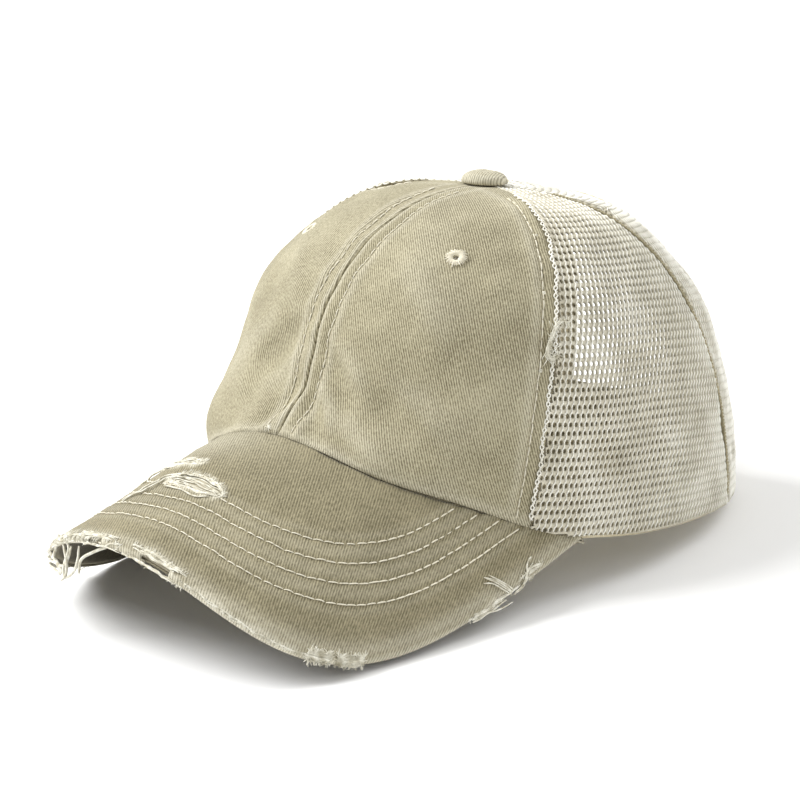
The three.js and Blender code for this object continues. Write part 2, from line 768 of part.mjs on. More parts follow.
function tape(seamAt, fromRise) {
  const layer = (depth) => {
    const start = fromRise(seamAt(0));
    const end = riseAtRadius(seamAt(QUARTER), TAPE_TOP_RADIUS);
    return steps(start, end, TAPE_ROWS).map((rise) => {
      const seam = seamAt(rise);
      const radius = levelRadius(seam, rise);
      const half = Math.min(TAPE_WIDTH / 2, radius * TAPE_MITRE) / radius;
      return steps(seam - half, seam + half, TAPE_COLUMNS).map((angle) => wall(angle, rise, depth));
    });
  };
  return solidBetween(layer(LINING_DEPTH), layer(LINING_DEPTH + TAPE_WALL));
}

const aboveBand = (angle) => riseAbove(angle, BAND_HEIGHT + TAPE_BAND_GAP);
const aboveOpening = () => OPENING_TOP + (BINDING_WIDTH + TAPE_BINDING_GAP) / CROWN_REAR;
addPiece('front_seam_tape', tape(() => 0, aboveBand), CREAM);
addPiece('back_seam_tape', tape(() => Math.PI, aboveOpening), CREAM);
for (const [side, sign] of Object.entries(sides)) {
  addPiece(`side_seam_tape_${side}`, tape((rise) => sign * seamAngle(SIDE_SEAM, rise), aboveBand), CREAM);
  addPiece(`rear_seam_tape_${side}`, tape((rise) => sign * seamAngle(REAR_SEAM, rise), aboveBand), CREAM);
}

// Binding: a folded tape round the edge of the opening, open towards the net that it holds
const BINDING_STEPS = 26;

function archFrame(share) {
  const sign = share < 0 ? 1 : -1;
  const rise = OPENING_TOP * Math.sin((1 - Math.abs(share)) * QUARTER);
  const angle = share === 0 ? Math.PI : openingAngle(rise, sign, 0);
  return { angle, rise };
}

function binding() {
  const shares = steps(-1, 1, BINDING_STEPS);
  const centres = shares.map((share) => {
    const { angle, rise } = archFrame(share);
    return { point: crown(angle, rise), normal: crownNormal(angle, rise) };
  });
  const rings = centres.map(({ point, normal }, i) => {
    const before = centres[Math.max(i - 1, 0)].point;
    const after = centres[Math.min(i + 1, centres.length - 1)].point;
    const along = after.clone().sub(before).normalize();
    const away = normal.clone().cross(along).normalize();
    const lift = along.clone().cross(away).normalize();
    const place = (aside, depth) => point.clone().addScaledVector(away, aside).addScaledVector(lift, -depth);
    const over = -BINDING_SLACK;
    const under = NET + BINDING_SLACK;
    return [
      place(0, over - BINDING_LIP), place(BINDING_WIDTH, over - BINDING_LIP), place(BINDING_WIDTH, over),
      place(BINDING_BIGHT, over), place(BINDING_BIGHT, under), place(BINDING_WIDTH, under),
      place(BINDING_WIDTH, under + BINDING_LIP), place(0, under + BINDING_LIP),
    ];
  });
  return solidAlong(rings);
}

addPiece('opening_binding', binding(), CREAM);

// Closing straps: the hook strap crosses over the loop strap, each sewn inside one side of the opening
const STRAP_COLUMNS = 14;
const STRAP_ROWS = 2;
const ANCHOR_DEPTH = LINING_DEPTH + BAND_WALL + GAP;
const OVER_DEPTH = ANCHOR_DEPTH - STRAP_WALL - GAP;

function strap(sign, crossesOver) {
  const radius = levelRadius(Math.PI, 0);
  const anchor = OPENING_HALF_WIDTH + STRAP_ANCHOR;
  const free = OPENING_HALF_WIDTH - STRAP_FREE_END;
  const layer = (deeper) => steps(-anchor, free, STRAP_COLUMNS).map((along) => {
    const past = along + OPENING_HALF_WIDTH;
    const inside = THREE.MathUtils.smoothstep(past, STRAP_SHIFT.from, STRAP_SHIFT.to);
    const depth = crossesOver ? lerp(ANCHOR_DEPTH, OVER_DEPTH, inside) : ANCHOR_DEPTH;
    const angle = Math.PI + (sign * along) / radius;
    const high = riseAbove(Math.PI, STRAP_HEIGHT);
    return steps(0, 1, STRAP_ROWS).map((up) => {
      const point = wall(angle, lerp(0, high, up), depth + deeper);
      return up === 0 ? point.add(vec(0, 0, -BAND_BELOW_HEM)) : point;
    });
  });
  return solidBetween(layer(0), layer(STRAP_WALL));
}

addPiece('strap_hook', strap(1, true), KHAKI);
addPiece('strap_loop', strap(-1, false), KHAKI);

// Button: a covered dome on a shank through the panels' ends, with a washer inside
const BUTTON_SIDES = 16;
const DOME_RINGS = 5;

function button() {
  const seat = GAP;
  const under = -(LINING_DEPTH + TAPE_WALL + GAP);
  const dome = steps(0, 1, DOME_RINGS).map((k) => {
    const turn = k * QUARTER;
    return [
      (BUTTON_RADIUS - BUTTON_RIM) * Math.sin(QUARTER - turn) + BUTTON_RIM * Math.cos(turn) ** 2,
      seat + BUTTON_RIM / 2 + (BUTTON_HEIGHT - BUTTON_RIM / 2) * Math.sin(turn),
    ];
  });
  const profile = [
    [0, under - BUTTON_WASHER.wall],
    [BUTTON_WASHER.radius, under - BUTTON_WASHER.wall],
    [BUTTON_WASHER.radius, under],
    [BUTTON_SHANK_RADIUS, under],
    [BUTTON_SHANK_RADIUS, seat],
    [BUTTON_RADIUS - BUTTON_RIM / 2, seat],
    ...dome.slice(0, -1),
    [0, seat + BUTTON_HEIGHT],
  ].map(([r, z]) => new THREE.Vector2(r, z));
  const shape = new THREE.LatheGeometry(profile, BUTTON_SIDES);
  shape.rotateX(QUARTER);
  shape.translate(...crown(0, QUARTER).toArray());
  return cleanSolid(shape);
}

// Eyelet: a sewn ring through the panel, wider on the outside than on the inside
const EYELET_SIDES = 12;

function eyelet(sign) {
  const profile = [
    [EYELET.hole, -TWILL - GAP - EYELET.innerWall],
    [EYELET.inner, -TWILL - GAP - EYELET.innerWall],
    [EYELET.inner, -TWILL - GAP],
    [EYELET.neck, -TWILL - GAP],
    [EYELET.neck, GAP],
    [EYELET.radius, GAP],
    [EYELET.radius - EYELET.raise / 2, GAP + EYELET.raise],
    [EYELET.hole + EYELET.raise / 2, GAP + EYELET.raise],
    [EYELET.hole, GAP + EYELET.raise / 3],
    [EYELET.hole, -TWILL - GAP - EYELET.innerWall],
  ].map(([r, z]) => new THREE.Vector2(r, z));
  const shape = new THREE.LatheGeometry(profile, EYELET_SIDES);
  shape.rotateX(QUARTER);
  return cleanSolid(onCrown(shape, sign * EYELET.angle * DEG, EYELET.level * DEG));
}

// A lathe's shape with its doubled points joined and its faces turned outwards
function cleanSolid(shape) {
  shape.deleteAttribute('normal');
  shape.deleteAttribute('uv');
  const merged = mergeVertices(shape, SAME_POINT);
  const position = merged.getAttribute('position');
  const points = Array.from({ length: position.count }, (_, i) => vec(0, 0, 0).fromBufferAttribute(position, i));
  const faces = Array.from(merged.getIndex().array);
  const whole = [];
  for (let i = 0; i < faces.length; i += 3) {
    const [a, b, c] = faces.slice(i, i + 3);
    if (a !== b && b !== c && c !== a) whole.push(a, b, c);
  }
  return outward(points, whole);
}

addPiece('button', button(), KHAKI);
for (const [side, sign] of Object.entries(sides)) {
  addPiece(`eyelet_${side}`, eyelet(sign), CREAM, THREAD_ROUGHNESS);
}

// The origin is on the floor, in the middle of the cap's length and width
const middle = new THREE.Box3().setFromObject(cap).getCenter(vec(0, 0, 0));
cap.position.set(-middle.x, -middle.y, 0);

export default cap;
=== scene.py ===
import math
import random

import bpy
import numpy as np
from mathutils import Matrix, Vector


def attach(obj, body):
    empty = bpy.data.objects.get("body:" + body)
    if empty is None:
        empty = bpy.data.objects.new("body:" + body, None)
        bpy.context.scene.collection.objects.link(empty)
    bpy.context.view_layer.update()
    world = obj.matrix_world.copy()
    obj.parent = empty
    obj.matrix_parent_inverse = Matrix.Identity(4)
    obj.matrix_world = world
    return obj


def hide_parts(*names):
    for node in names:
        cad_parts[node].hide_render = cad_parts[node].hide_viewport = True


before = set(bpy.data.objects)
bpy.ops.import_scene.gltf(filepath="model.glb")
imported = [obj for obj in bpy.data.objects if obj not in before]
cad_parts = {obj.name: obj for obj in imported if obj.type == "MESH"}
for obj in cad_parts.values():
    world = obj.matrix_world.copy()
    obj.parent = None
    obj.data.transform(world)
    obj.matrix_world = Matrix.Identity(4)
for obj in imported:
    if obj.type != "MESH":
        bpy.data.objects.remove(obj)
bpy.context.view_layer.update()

# Camera, floor and light: a cap on a plain pale table, seen from the wearer's left front and a
# little above, under one large soft light at the left and the even light of a white room.
CAMERA_PLACE, CAMERA_TURNS = (0.7358, -0.7048, 0.3563), (73.3176, 2.9007, 45.3226)
SENSOR_WIDTH, LENS = 36, 141.3
camera = bpy.data.objects.new("camera", bpy.data.cameras.new("camera"))
bpy.context.collection.objects.link(camera)
camera.location = CAMERA_PLACE
camera.rotation_euler = [math.radians(turn) for turn in CAMERA_TURNS]
camera.data.sensor_width = SENSOR_WIDTH
camera.data.lens = LENS
bpy.context.scene.camera = camera
bpy.context.scene.view_settings.view_transform = "Standard"


def linear(colour):
    """The linear colour of an sRGB hex value, with full alpha."""
    parts = [int(colour[i : i + 2], 16) / 255 for i in (1, 3, 5)]
    return (*[p / 12.92 if p <= 0.04045 else ((p + 0.055) / 1.055) ** 2.4 for p in parts], 1)


def add_node(tree, kind, inputs, **settings):
    """Adds a node with its settings, and sets or links its inputs."""
    made = tree.nodes.new("ShaderNode" + kind)
    for name, value in settings.items():
        setattr(made, name, value)
    for name, value in inputs.items():
        if isinstance(value, bpy.types.NodeSocket):
            tree.links.new(value, made.inputs[name])
        else:
            made.inputs[name].default_value = value
    return made


def new_material(name, roughness, **constants):
    """An empty principled material. Its constants go straight onto the shader's sockets."""
    made = bpy.data.materials.new(name)
    made.use_nodes = True
    shader = made.node_tree.nodes["Principled BSDF"]
    shader.inputs["Roughness"].default_value = roughness
    for socket, value in constants.items():
        shader.inputs[socket.replace("_", " ")].default_value = value
    return made, made.node_tree, shader


# Painted table: matt, almost white, with the faintest mottle of a rolled coat
painted_table, tree, shader = new_material("painted_table", 0.8)
mottle = add_node(tree, "TexNoise", {"Scale": 6.0, "Detail": 3.0})
paint = add_node(tree, "ValToRGB", {"Fac": mottle.outputs["Fac"]})
paint.color_ramp.elements[0].color = linear("#fbfbfa")
paint.color_ramp.elements[1].color = linear("#ffffff")
tree.links.new(paint.outputs["Color"], shader.inputs["Base Color"])

# The table's half width, and how far it lies under the cap, in metres
FLOOR_REACH, FLOOR_DROP = 9.0, 0.0004
floor_mesh = bpy.data.meshes.new("floor")
floor_mesh.from_pydata(
    [(x * FLOOR_REACH, y * FLOOR_REACH, -FLOOR_DROP) for x, y in ((-1, -1), (1, -1), (1, 1), (-1, 1))],
    [],
    [(0, 1, 2, 3)],
)
floor_mesh.materials.append(painted_table)
floor = bpy.data.objects.new("floor", floor_mesh)
bpy.context.collection.objects.link(floor)

ROOM_LIGHT = 0.5
room = bpy.data.worlds.new("white_room")
room.use_nodes = True
room.node_tree.nodes["Background"].inputs["Color"].default_value = linear("#ffffff")
room.node_tree.nodes["Background"].inputs["Strength"].default_value = ROOM_LIGHT
bpy.context.scene.world = room


def soft_light(name, place, aim, width, watts):
    """A round area light at a place, turned to what it is aimed at."""
    lamp = bpy.data.lights.new(name, "AREA")
    lamp.shape = "DISK"
    lamp.size = width
    lamp.energy = watts
    holder = bpy.data.objects.new(name, lamp)
    bpy.context.collection.objects.link(holder)
    holder.location = place
    aim_line = Vector(aim) - holder.location
    holder.rotation_euler = aim_line.to_track_quat("-Z", "Y").to_euler()


soft_light("key_light", (-1.25, -0.75, 1.55), (0, 0, 0.05), 1.5, 60)
soft_light("back_light", (0.5, 1.5, 1.5), (0, 0, 0.05), 1.4, 18)
soft_light("side_fill", (1.7, -0.1, 0.9), (0, 0, 0.06), 1.4, 5)


# Shape of the crown: the cap is cut in six gores over a rounded plan, a little longer behind than
# in front. Sizes are millimetres in the cap's own frame, with the rear hem level at zero, the
# front towards -Y and the wearer's left towards +X.
CROWN_HALF_WIDTH, CROWN_FRONT, CROWN_REAR, CROWN_HEIGHT = 84.6, 86.6, 99.5, 104.8
APEX_BACK = 1.9
PLAN_POWER = 2.15
FRONT_ROUND, SIDE_ROUND, REAR_ROUND = (2.42, 2.44), (3.07, 2.25), (2.84, 1.7)
QUARTER = math.pi / 2
DENT_DEPTH, DENT_LEVEL, DENT_SPREAD = 3.4, 0.42, 0.14
FLARE_DEPTH, FLARE_LEVEL, FLARE_SPREAD = 8.3, 0.2, 0.12
SOFT_ANGLE = math.radians(40)
# Soft folds of the washed cloth: angle, level, slant, reach, spread and depth
FOLDS = (
    (10, 0.44, -52, 0.2, 0.085, 0.013),
    (22, 0.3, -38, 0.26, 0.09, -0.012),
    (38, 0.22, -30, 0.22, 0.085, 0.01),
    (-13, 0.46, 48, 0.2, 0.085, 0.013),
    (-27, 0.34, 40, 0.28, 0.09, -0.012),
    (92, 0.45, 84, 0.4, 0.16, 0.01),
    (-96, 0.42, 96, 0.4, 0.16, 0.01),
)


def bell(value, centre, spread):
    """A rounded bump of height 1 about a centre."""
    return np.exp(-(((value - centre) / spread) ** 2))


def smooth(value, start, end):
    """Eases from 0 at the start to 1 at the end."""
    part = np.clip((value - start) / (end - start), 0, 1)
    return part * part * (3 - 2 * part)


def wrap(angle):
    """The same angle, from minus half a turn to half a turn."""
    return np.arctan2(np.sin(angle), np.cos(angle))


def plan_radius(angle):
    """Distance of the hem's outline from the crown's middle line."""
    reach = np.where(np.cos(angle) > 0, CROWN_FRONT, CROWN_REAR)
    across = (np.abs(np.sin(angle)) / CROWN_HALF_WIDTH) ** PLAN_POWER
    along = (np.abs(np.cos(angle)) / reach) ** PLAN_POWER
    return (across + along) ** (-1 / PLAN_POWER)


def fold_depth(angle, level):
    """Depth of all the soft folds at an angle and a share of the height."""
    depth = 0.0
    for turned, height, slant, reach, spread, deep in FOLDS:
        across = wrap(angle - math.radians(turned)) * plan_radius(angle) / CROWN_HEIGHT
        up = level - height
        c, s = math.cos(math.radians(slant)), math.sin(math.radians(slant))
        along, aside = (across * c + up * s) / reach, (up * c - across * s) / spread
        depth = depth + deep * CROWN_HEIGHT * np.exp(-along * along - aside * aside)
    return depth


def crown(angle, rise):
    """Outside of the crown at an angle from centre front and a rise from hem to apex."""
    angle, rise = np.broadcast_arrays(np.asarray(angle, float), np.asarray(rise, float))
    c = np.cos(angle)
    end = np.where((c > 0)[..., None], FRONT_ROUND, REAR_ROUND)
    rounds = np.array(SIDE_ROUND) + (end - np.array(SIDE_ROUND)) * (c * c)[..., None]
    out = np.maximum(np.cos(rise), 0) ** (2 / rounds[..., 0])
    level = np.maximum(np.sin(rise), 0) ** (2 / rounds[..., 1])
    soft = bell(wrap(angle), 0, SOFT_ANGLE)
    swell = FLARE_DEPTH * bell(level, FLARE_LEVEL, FLARE_SPREAD)
    dent = DENT_DEPTH * bell(level, DENT_LEVEL, DENT_SPREAD)
    radius = plan_radius(angle) * out + soft * (swell - dent) - fold_depth(angle, level) * np.sqrt(out)
    x, y = radius * np.sin(angle), -radius * c + APEX_BACK * level * level
    return np.stack([x, y, CROWN_HEIGHT * level], -1)


def unit(vectors):
    """The same directions, one long."""
    return vectors / np.maximum(np.linalg.norm(vectors, axis=-1, keepdims=True), 1e-9)


# Small step for the slopes of the crown, and how near they are taken to its hem and its top
SLOPE_STEP, HEM_MARGIN, TOP_MARGIN = 0.01, 0.004, 0.03


def crown_normal(angle, rise):
    """Outward normal of the crown."""
    low = np.clip(rise - SLOPE_STEP, HEM_MARGIN, QUARTER - TOP_MARGIN)
    level = low + SLOPE_STEP
    across = crown(angle + SLOPE_STEP, level) - crown(angle - SLOPE_STEP, level)
    up = crown(angle, low + 2 * SLOPE_STEP) - crown(angle, low)
    return unit(np.cross(across, up))


def wall(angle, rise, depth):
    """The crown's surface at a depth inside it, or outside where the depth is below zero."""
    return crown(angle, rise) - crown_normal(angle, rise) * np.asarray(depth, float)[..., None]


# Shape of the peak, which the hem of the front panels follows: a flat pattern with a wide round
# end, bent across more on the wearer's right than on the left, and sloped down to the front.
PEAK_LENGTH, PEAK_WIDEST_BEHIND, PEAK_SLOPE = 73.5, 27.8, math.tan(math.radians(20.7))
PEAK_HALF_WIDTH, PEAK_ROUND, PEAK_BEND = (97.1, 100.1), (2.15, 2.82), (67.3, 83.8)
BEND_EASING, EASING_LENGTH, BEND_STEPS, BEND_REACH = -0.089, 80.0, 120, 1.3
FRONT_HEM_RISE = 28.8


def bend_table(half_width, radius):
    """Flat distance, distance seen from above, drop and turn of the bent peak's cross-section."""
    step = half_width * BEND_REACH / BEND_STEPS
    flat = np.arange(BEND_STEPS + 1) * step

    def turn_at(across):
        return across / radius * (1 + BEND_EASING * (across / EASING_LENGTH) ** 2)

    middle = turn_at(flat[1:] - step / 2)
    x = np.concatenate([[0], np.cumsum(step * np.cos(middle))])
    drop = np.concatenate([[0], np.cumsum(step * np.sin(middle))])
    return {"flat": flat, "x": x, "drop": drop, "turn": turn_at(flat)}


BENDS = [bend_table(half, radius) for half, radius in zip(PEAK_HALF_WIDTH, PEAK_BEND)]


def bend(key, value, wanted):
    """Looks up the cross-section on the side that the value's sign gives."""
    right, left = (np.interp(np.abs(value), table[key], table[wanted]) for table in BENDS)
    return np.where(value < 0, right, left)


def peak_height(drop, y):
    """Height of the peak's top where its cross-section has dropped by so much."""
    return FRONT_HEM_RISE - drop + (y + CROWN_FRONT) * PEAK_SLOPE


def peak_surface(flat, y):
    """Top of the peak at a place of its flat pattern, with its upward normal."""
    turn, sign = bend("flat", flat, "turn"), np.where(flat < 0, -1, 1)
    normal = unit(np.stack([sign * np.sin(turn), -np.cos(turn) * PEAK_SLOPE, np.cos(turn)], -1))
    x = sign * bend("flat", flat, "x")
    return np.stack([x, y + 0 * x, peak_height(bend("flat", flat, "drop"), y)], -1), normal


def peak_edge(turn, inset=0.0):
    """Outer edge of the flat pattern; turn is 0 at the front and grows to the wearer's left."""
    left = np.asarray(turn >= 0).astype(int)
    power = 2 / np.take(PEAK_ROUND, left)
    s, c = np.sin(turn), np.cos(turn)
    flat = (np.take(PEAK_HALF_WIDTH, left) - inset) * np.sign(s) * np.abs(s) ** power
    reach = PEAK_LENGTH + PEAK_WIDEST_BEHIND - inset
    return flat, PEAK_WIDEST_BEHIND - CROWN_FRONT - reach * np.sign(c) * np.abs(c) ** power


# The peak's right and left corner, as turns round its edge and as angles round the crown
CORNER_TURN, CORNER_SPAN = (1.6015404, 1.6963597), (0.9114303, 1.1562827)
HEM_EASE = math.radians(24)
TABLE_ANGLES = np.radians(np.arange(-180, 180.01, 0.25))
# Rounds of halving that find a rise or an inset far closer than a thread's width
HALVINGS = 26


def hem_table(depth, clearance):
    """Rise of the hem round the cap: on the peak, then easing down to the rear hem's level."""
    span = np.where(TABLE_ANGLES < 0, *CORNER_SPAN)
    past = smooth(np.abs(TABLE_ANGLES), span, span + HEM_EASE)
    angle = np.clip(TABLE_ANGLES, -CORNER_SPAN[0], CORNER_SPAN[1])
    low, high = np.zeros_like(angle), np.ones_like(angle)
    for _ in range(HALVINGS):
        middle = (low + high) / 2
        point = wall(angle, middle, depth)
        x = point[..., 0]
        rest = clearance / np.cos(bend("x", x, "turn"))
        over = point[..., 2] - peak_height(bend("x", x, "drop"), point[..., 1]) - rest > 0
        high, low = np.where(over, middle, high), np.where(over, low, middle)
    return high * (1 - past)


PEAK_CLEARANCE = 0.3
hem_tables = {}


def hem_rise(angle, depth=0.0, clearance=PEAK_CLEARANCE):
    """Rise of the hem at an angle, from a table made once for each depth and clearance."""
    if (depth, clearance) not in hem_tables:
        hem_tables[depth, clearance] = hem_table(depth, clearance)
    return np.interp(wrap(angle), TABLE_ANGLES, hem_tables[depth, clearance])


def level_radius(angle, rise):
    """Distance from the crown's middle line at an angle and a rise."""
    point = crown(angle, rise)
    return np.hypot(point[..., 0], point[..., 1] - APEX_BACK * (rise / QUARTER) ** 2)


def rise_at_radius(angle, radius):
    """Rise at which the crown has narrowed to a radius."""
    low, high = np.full(np.shape(angle), 0.5), np.full(np.shape(angle), QUARTER)
    for _ in range(HALVINGS):
        middle = (low + high) / 2
        near = level_radius(angle, middle) < radius
        high, low = np.where(near, middle, high), np.where(near, low, middle)
    return high


# The finished cap leans back by this much as it rests on the sides of its peak and its rear hem
REST_TURN, REST_LIFT = 0.13487389, 13.640697
REST_SHIFT = np.array([-0.0055504, 30.4251747])


def at_rest(points):
    """From the cap's own frame in millimetres to the row frame in metres."""
    x, y, z = np.moveaxis(np.asarray(points, float), -1, 0)
    c, s = math.cos(REST_TURN), math.sin(REST_TURN)
    turned = np.stack([x + REST_SHIFT[0], y * c + z * s + REST_SHIFT[1], z * c - y * s + REST_LIFT], -1)
    turned[..., 2] = np.maximum(turned[..., 2], 0)
    return turned / 1000


# Front panels: two gores of washed cotton twill, sewn together down the middle with the seam
# pressed open and topstitched on both sides, and lying on the peak. Washing has left soft
# creases, a sunken seam with puckers along it, and pale wear on every raised edge.
TWILL_WALL, SEAM_GAP, APEX_HOLE = 1.2, 0.4, 3.6
SIDE_SEAM = (math.radians(57.8), math.radians(75.2))
REAR_SEAM = (math.radians(127), math.radians(110))
# Distances of the topstitching from the centre seam and from the side seam
SEAM_ROW, SIDE_ROW = 5.6, 5.5
EYELET_ANGLE, EYELET_RISE, EYELET_CUT = math.radians(36), math.radians(54), 1.3
SIDES = (("right", -1), ("left", 1))


def seam_angle(seam, rise):
    """Angle of a seam, which leans evenly from its hem end to its top end."""
    return seam[0] + (seam[1] - seam[0]) * rise / QUARTER


def ripple(x, y, size, seed, waves=9):
    """Smooth seeded unevenness of about that size, mostly between -1 and 1."""
    draw = random.Random(seed)
    total = 0.0
    for _ in range(waves):
        way, length, start = draw.uniform(0, 2 * math.pi), size * draw.uniform(0.7, 1.8), draw.uniform(0, 6.3)
        total = total + np.sin((x * math.cos(way) + y * math.sin(way)) * 2 * math.pi / length + start)
    return total / math.sqrt(waves)


def crown_grid(edges, ups, acrosses):
    """Angles and rises of a gore's grid, whose rows run from its hem to its top."""
    up, across = np.meshgrid(ups, acrosses, indexing="ij")
    top = rise_at_radius(TABLE_ANGLES, APEX_HOLE)
    rise = np.minimum(up * QUARTER, top.min())
    for _ in range(3):
        angle = edges[0](rise) + (edges[1](rise) - edges[0](rise)) * across
        start = hem_rise(angle)
        rise = start + (np.interp(wrap(angle), TABLE_ANGLES, top) - start) * up
    return angle, rise


def sheet_faces(rows, columns, keep=None):
    """Faces of a closed sheet of two facing grids, open where a cell isn't kept."""
    keep = np.ones((rows - 1, columns - 1), bool) if keep is None else keep
    at = np.arange(rows * columns).reshape(rows, columns)
    low, right, high, left = at[:-1, :-1], at[:-1, 1:], at[1:, 1:], at[1:, :-1]
    front = np.stack([low, right, high, left], -1)
    back = front[..., ::-1] + rows * columns
    padded = np.pad(keep, 1)
    faces = [front[keep], back[keep]]
    sides = (
        (padded[:-2, 1:-1], low, right),
        (padded[1:-1, 2:], right, high),
        (padded[2:, 1:-1], high, left),
        (padded[1:-1, :-2], left, low),
    )
    for beside, start, end in sides:
        edge = keep & ~beside
        a, b = start[edge], end[edge]
        faces.append(np.stack([b, a, a + rows * columns, b + rows * columns], -1))
    return np.concatenate(faces)


def add_piece(name, points, faces, material, flat=None, wear_and_painted_light=None, stands_for=()):
    """A smooth piece of points in the cap's own frame, with its flat place in mm as its UV."""
    mesh = bpy.data.meshes.new(name)
    faces = np.asarray(faces)
    used, packed = np.unique(faces, return_inverse=True)
    packed = packed.reshape(faces.shape)
    points = np.asarray(points).reshape(-1, 3)[used]
    corners = faces.shape[1]
    first = points[packed[:, 0]]
    volume = np.einsum("ij,ij->i", first, np.cross(points[packed[:, 1]], points[packed[:, 2]])).sum()
    if corners == 4:
        cross = np.cross(points[packed[:, 2]], points[packed[:, 3]])
        volume += np.einsum("ij,ij->i", first, cross).sum()
    packed = packed[:, ::-1] if volume < 0 else packed
    mesh.vertices.add(len(points))
    mesh.vertices.foreach_set("co", at_rest(points).astype(np.float32).ravel())
    mesh.loops.add(packed.size)
    mesh.loops.foreach_set("vertex_index", packed.astype(np.int32).ravel())
    mesh.polygons.add(len(packed))
    mesh.polygons.foreach_set("loop_start", np.arange(0, packed.size, corners, dtype=np.int32))
    mesh.polygons.foreach_set("use_smooth", np.ones(len(packed), bool))
    mesh.update(calc_edges=True)
    if flat is not None:
        places = np.asarray(flat, float).reshape(-1, 2)[used][packed.ravel()]
        mesh.uv_layers.new(name="flat").data.foreach_set("uv", places.astype(np.float32).ravel())
    # This layer holds real wear on the twill pieces and painted light on the net pieces: painted highlight on
    # raised yarns, painted shade between
    if wear_and_painted_light is not None:
        worn = mesh.attributes.new("wear_and_painted_light", "FLOAT", "POINT")
        worn.data.foreach_set("value", np.asarray(wear_and_painted_light, float).ravel()[used].astype(np.float32))
    mesh.materials.append(material)
    piece = bpy.data.objects.new(name, mesh)
    bpy.context.collection.objects.link(piece)
    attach(piece, "root")
    if stands_for:
        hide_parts(*stands_for)
    return piece


# Washed cotton twill: piece-dyed khaki, then stone-washed. Ribs 0.8 to 1 mm apart, pale on their
# crests and dark between, broken up thread by thread, over mottled dye; the threads are bleached
# almost to cream wherever the cloth was rubbed. A wave texture of scale 1 repeats after WAVE_PERIOD,
# and a thread's float between two crossings is as wide as a rib and twice as long.
WAVE_PERIOD, FLOAT_STRETCH, FLOAT_SCALE = math.pi / 10, 0.5, 1.35


def washed_twill(name, dyed, faded, bleached, rib_turn, rib, strength=1.0):
    """Twill of three colours, whose ribs are turned by an angle and lie some mm apart."""
    made, tree, shader = new_material(name, 0.92, Sheen_Weight=0.1, Sheen_Roughness=0.5)
    place = add_node(tree, "UVMap", {}, uv_map="flat")
    space = add_node(tree, "TexCoord", {})
    turned = add_node(tree, "Mapping", {"Vector": place.outputs["UV"], "Rotation": (0, 0, rib_turn)})
    ribs = add_node(
        tree,
        "TexWave",
        {
            "Vector": turned.outputs["Vector"], "Scale": WAVE_PERIOD / rib,
            "Distortion": 0.8, "Detail": 2.0, "Detail Scale": 1.5,
        },
        wave_type="BANDS",
        bands_direction="X",
    )
    drawn = add_node(tree, "Mapping", {"Vector": turned.outputs["Vector"], "Scale": (1, FLOAT_STRETCH, 1)})
    threads = add_node(
        tree,
        "TexNoise",
        {"Vector": drawn.outputs["Vector"], "Scale": FLOAT_SCALE / rib, "Detail": 3.0, "Roughness": 0.7},
    )
    dye = add_node(
        tree, "TexNoise", {"Vector": space.outputs["Object"], "Scale": 55.0, "Detail": 6.0, "Roughness": 0.66}
    )
    wear_and_painted_light = add_node(tree, "Attribute", {}, attribute_name="wear_and_painted_light")
    speck = add_node(
        tree,
        "MapRange",
        {"Value": threads.outputs["Fac"], "From Min": 0.3, "From Max": 0.7, "To Min": -0.42, "To Max": 0.42},
    )
    mottled = add_node(
        tree,
        "MapRange",
        {"Value": dye.outputs["Fac"], "From Min": 0.3, "From Max": 0.7, "To Min": -0.16, "To Max": 0.2},
    )
    crest = add_node(
        tree,
        "MapRange",
        {"Value": ribs.outputs["Fac"], "To Min": 0.5 - 0.42 * strength, "To Max": 0.5 + 0.42 * strength},
    )
    spun = add_node(tree, "Math", {0: crest.outputs["Result"], 1: speck.outputs["Result"]}, operation="ADD")
    shade = add_node(
        tree,
        "Math",
        {0: spun.outputs["Value"], 1: mottled.outputs["Result"]},
        operation="ADD",
        use_clamp=True,
    )
    cloth = add_node(
        tree, "Mix", {"Factor": shade.outputs["Value"], 6: linear(dyed), 7: linear(faded)}, data_type="RGBA"
    )
    rubbed = add_node(tree, "MapRange", {"Value": spun.outputs["Value"], "To Min": 0.45, "To Max": 1.2})
    worn = add_node(
        tree,
        "Math",
        {0: wear_and_painted_light.outputs["Fac"], 1: rubbed.outputs["Result"]},
        operation="MULTIPLY",
        use_clamp=True,
    )
    final = add_node(
        tree,
        "Mix",
        {"Factor": worn.outputs["Value"], 6: cloth.outputs[2], 7: linear(bleached)},
        data_type="RGBA",
    )
    tree.links.new(final.outputs[2], shader.inputs["Base Color"])
    relief = add_node(tree, "Bump", {"Height": spun.outputs["Value"], "Strength": 0.6, "Distance": 0.00025})
    tree.links.new(relief.outputs["Normal"], shader.inputs["Normal"])
    return made


CROWN_RIB, CROWN_RIB_TURN = 0.8, math.radians(-22)
crown_twill = washed_twill(
    "washed_cotton_twill_crown", "#6d654b", "#c2ba9c", "#e6e1ce", CROWN_RIB_TURN, CROWN_RIB
)

PANEL_ROWS, PANEL_COLUMNS = 120, 120
SEAM_CROWDING = 0.7
# Creases of the front: angle and level of both ends, half width in mm and depth in mm,
# where a depth below zero is a ridge
CREASES = (
    (1.5, 0.40, 13, 0.20, 3.2, 1.5),
    (4, 0.52, 15, 0.36, 4.0, 0.9),
    (7, 0.30, 30, 0.10, 5.5, 1.3),
    (18, 0.42, 38, 0.20, 6.5, 1.0),
    (26, 0.16, 44, 0.04, 5.0, 1.1),
    (12, 0.72, 30, 0.52, 8.0, 0.8),
    (-1.5, 0.42, -10, 0.26, 3.0, 1.3),
    (-5, 0.62, -20, 0.42, 5.0, 1.0),
    (-14, 0.30, -34, 0.16, 6.0, 1.2),
    (-8, 0.20, -22, 0.06, 4.5, 1.0),
    (-24, 0.70, -44, 0.44, 8.0, 1.0),
)
CREASE_SHARPNESS, LOWEST_SINK = 1.3, 1.5
CREASE_SWAY, CREASE_SWAYS = 1.6, 3.1
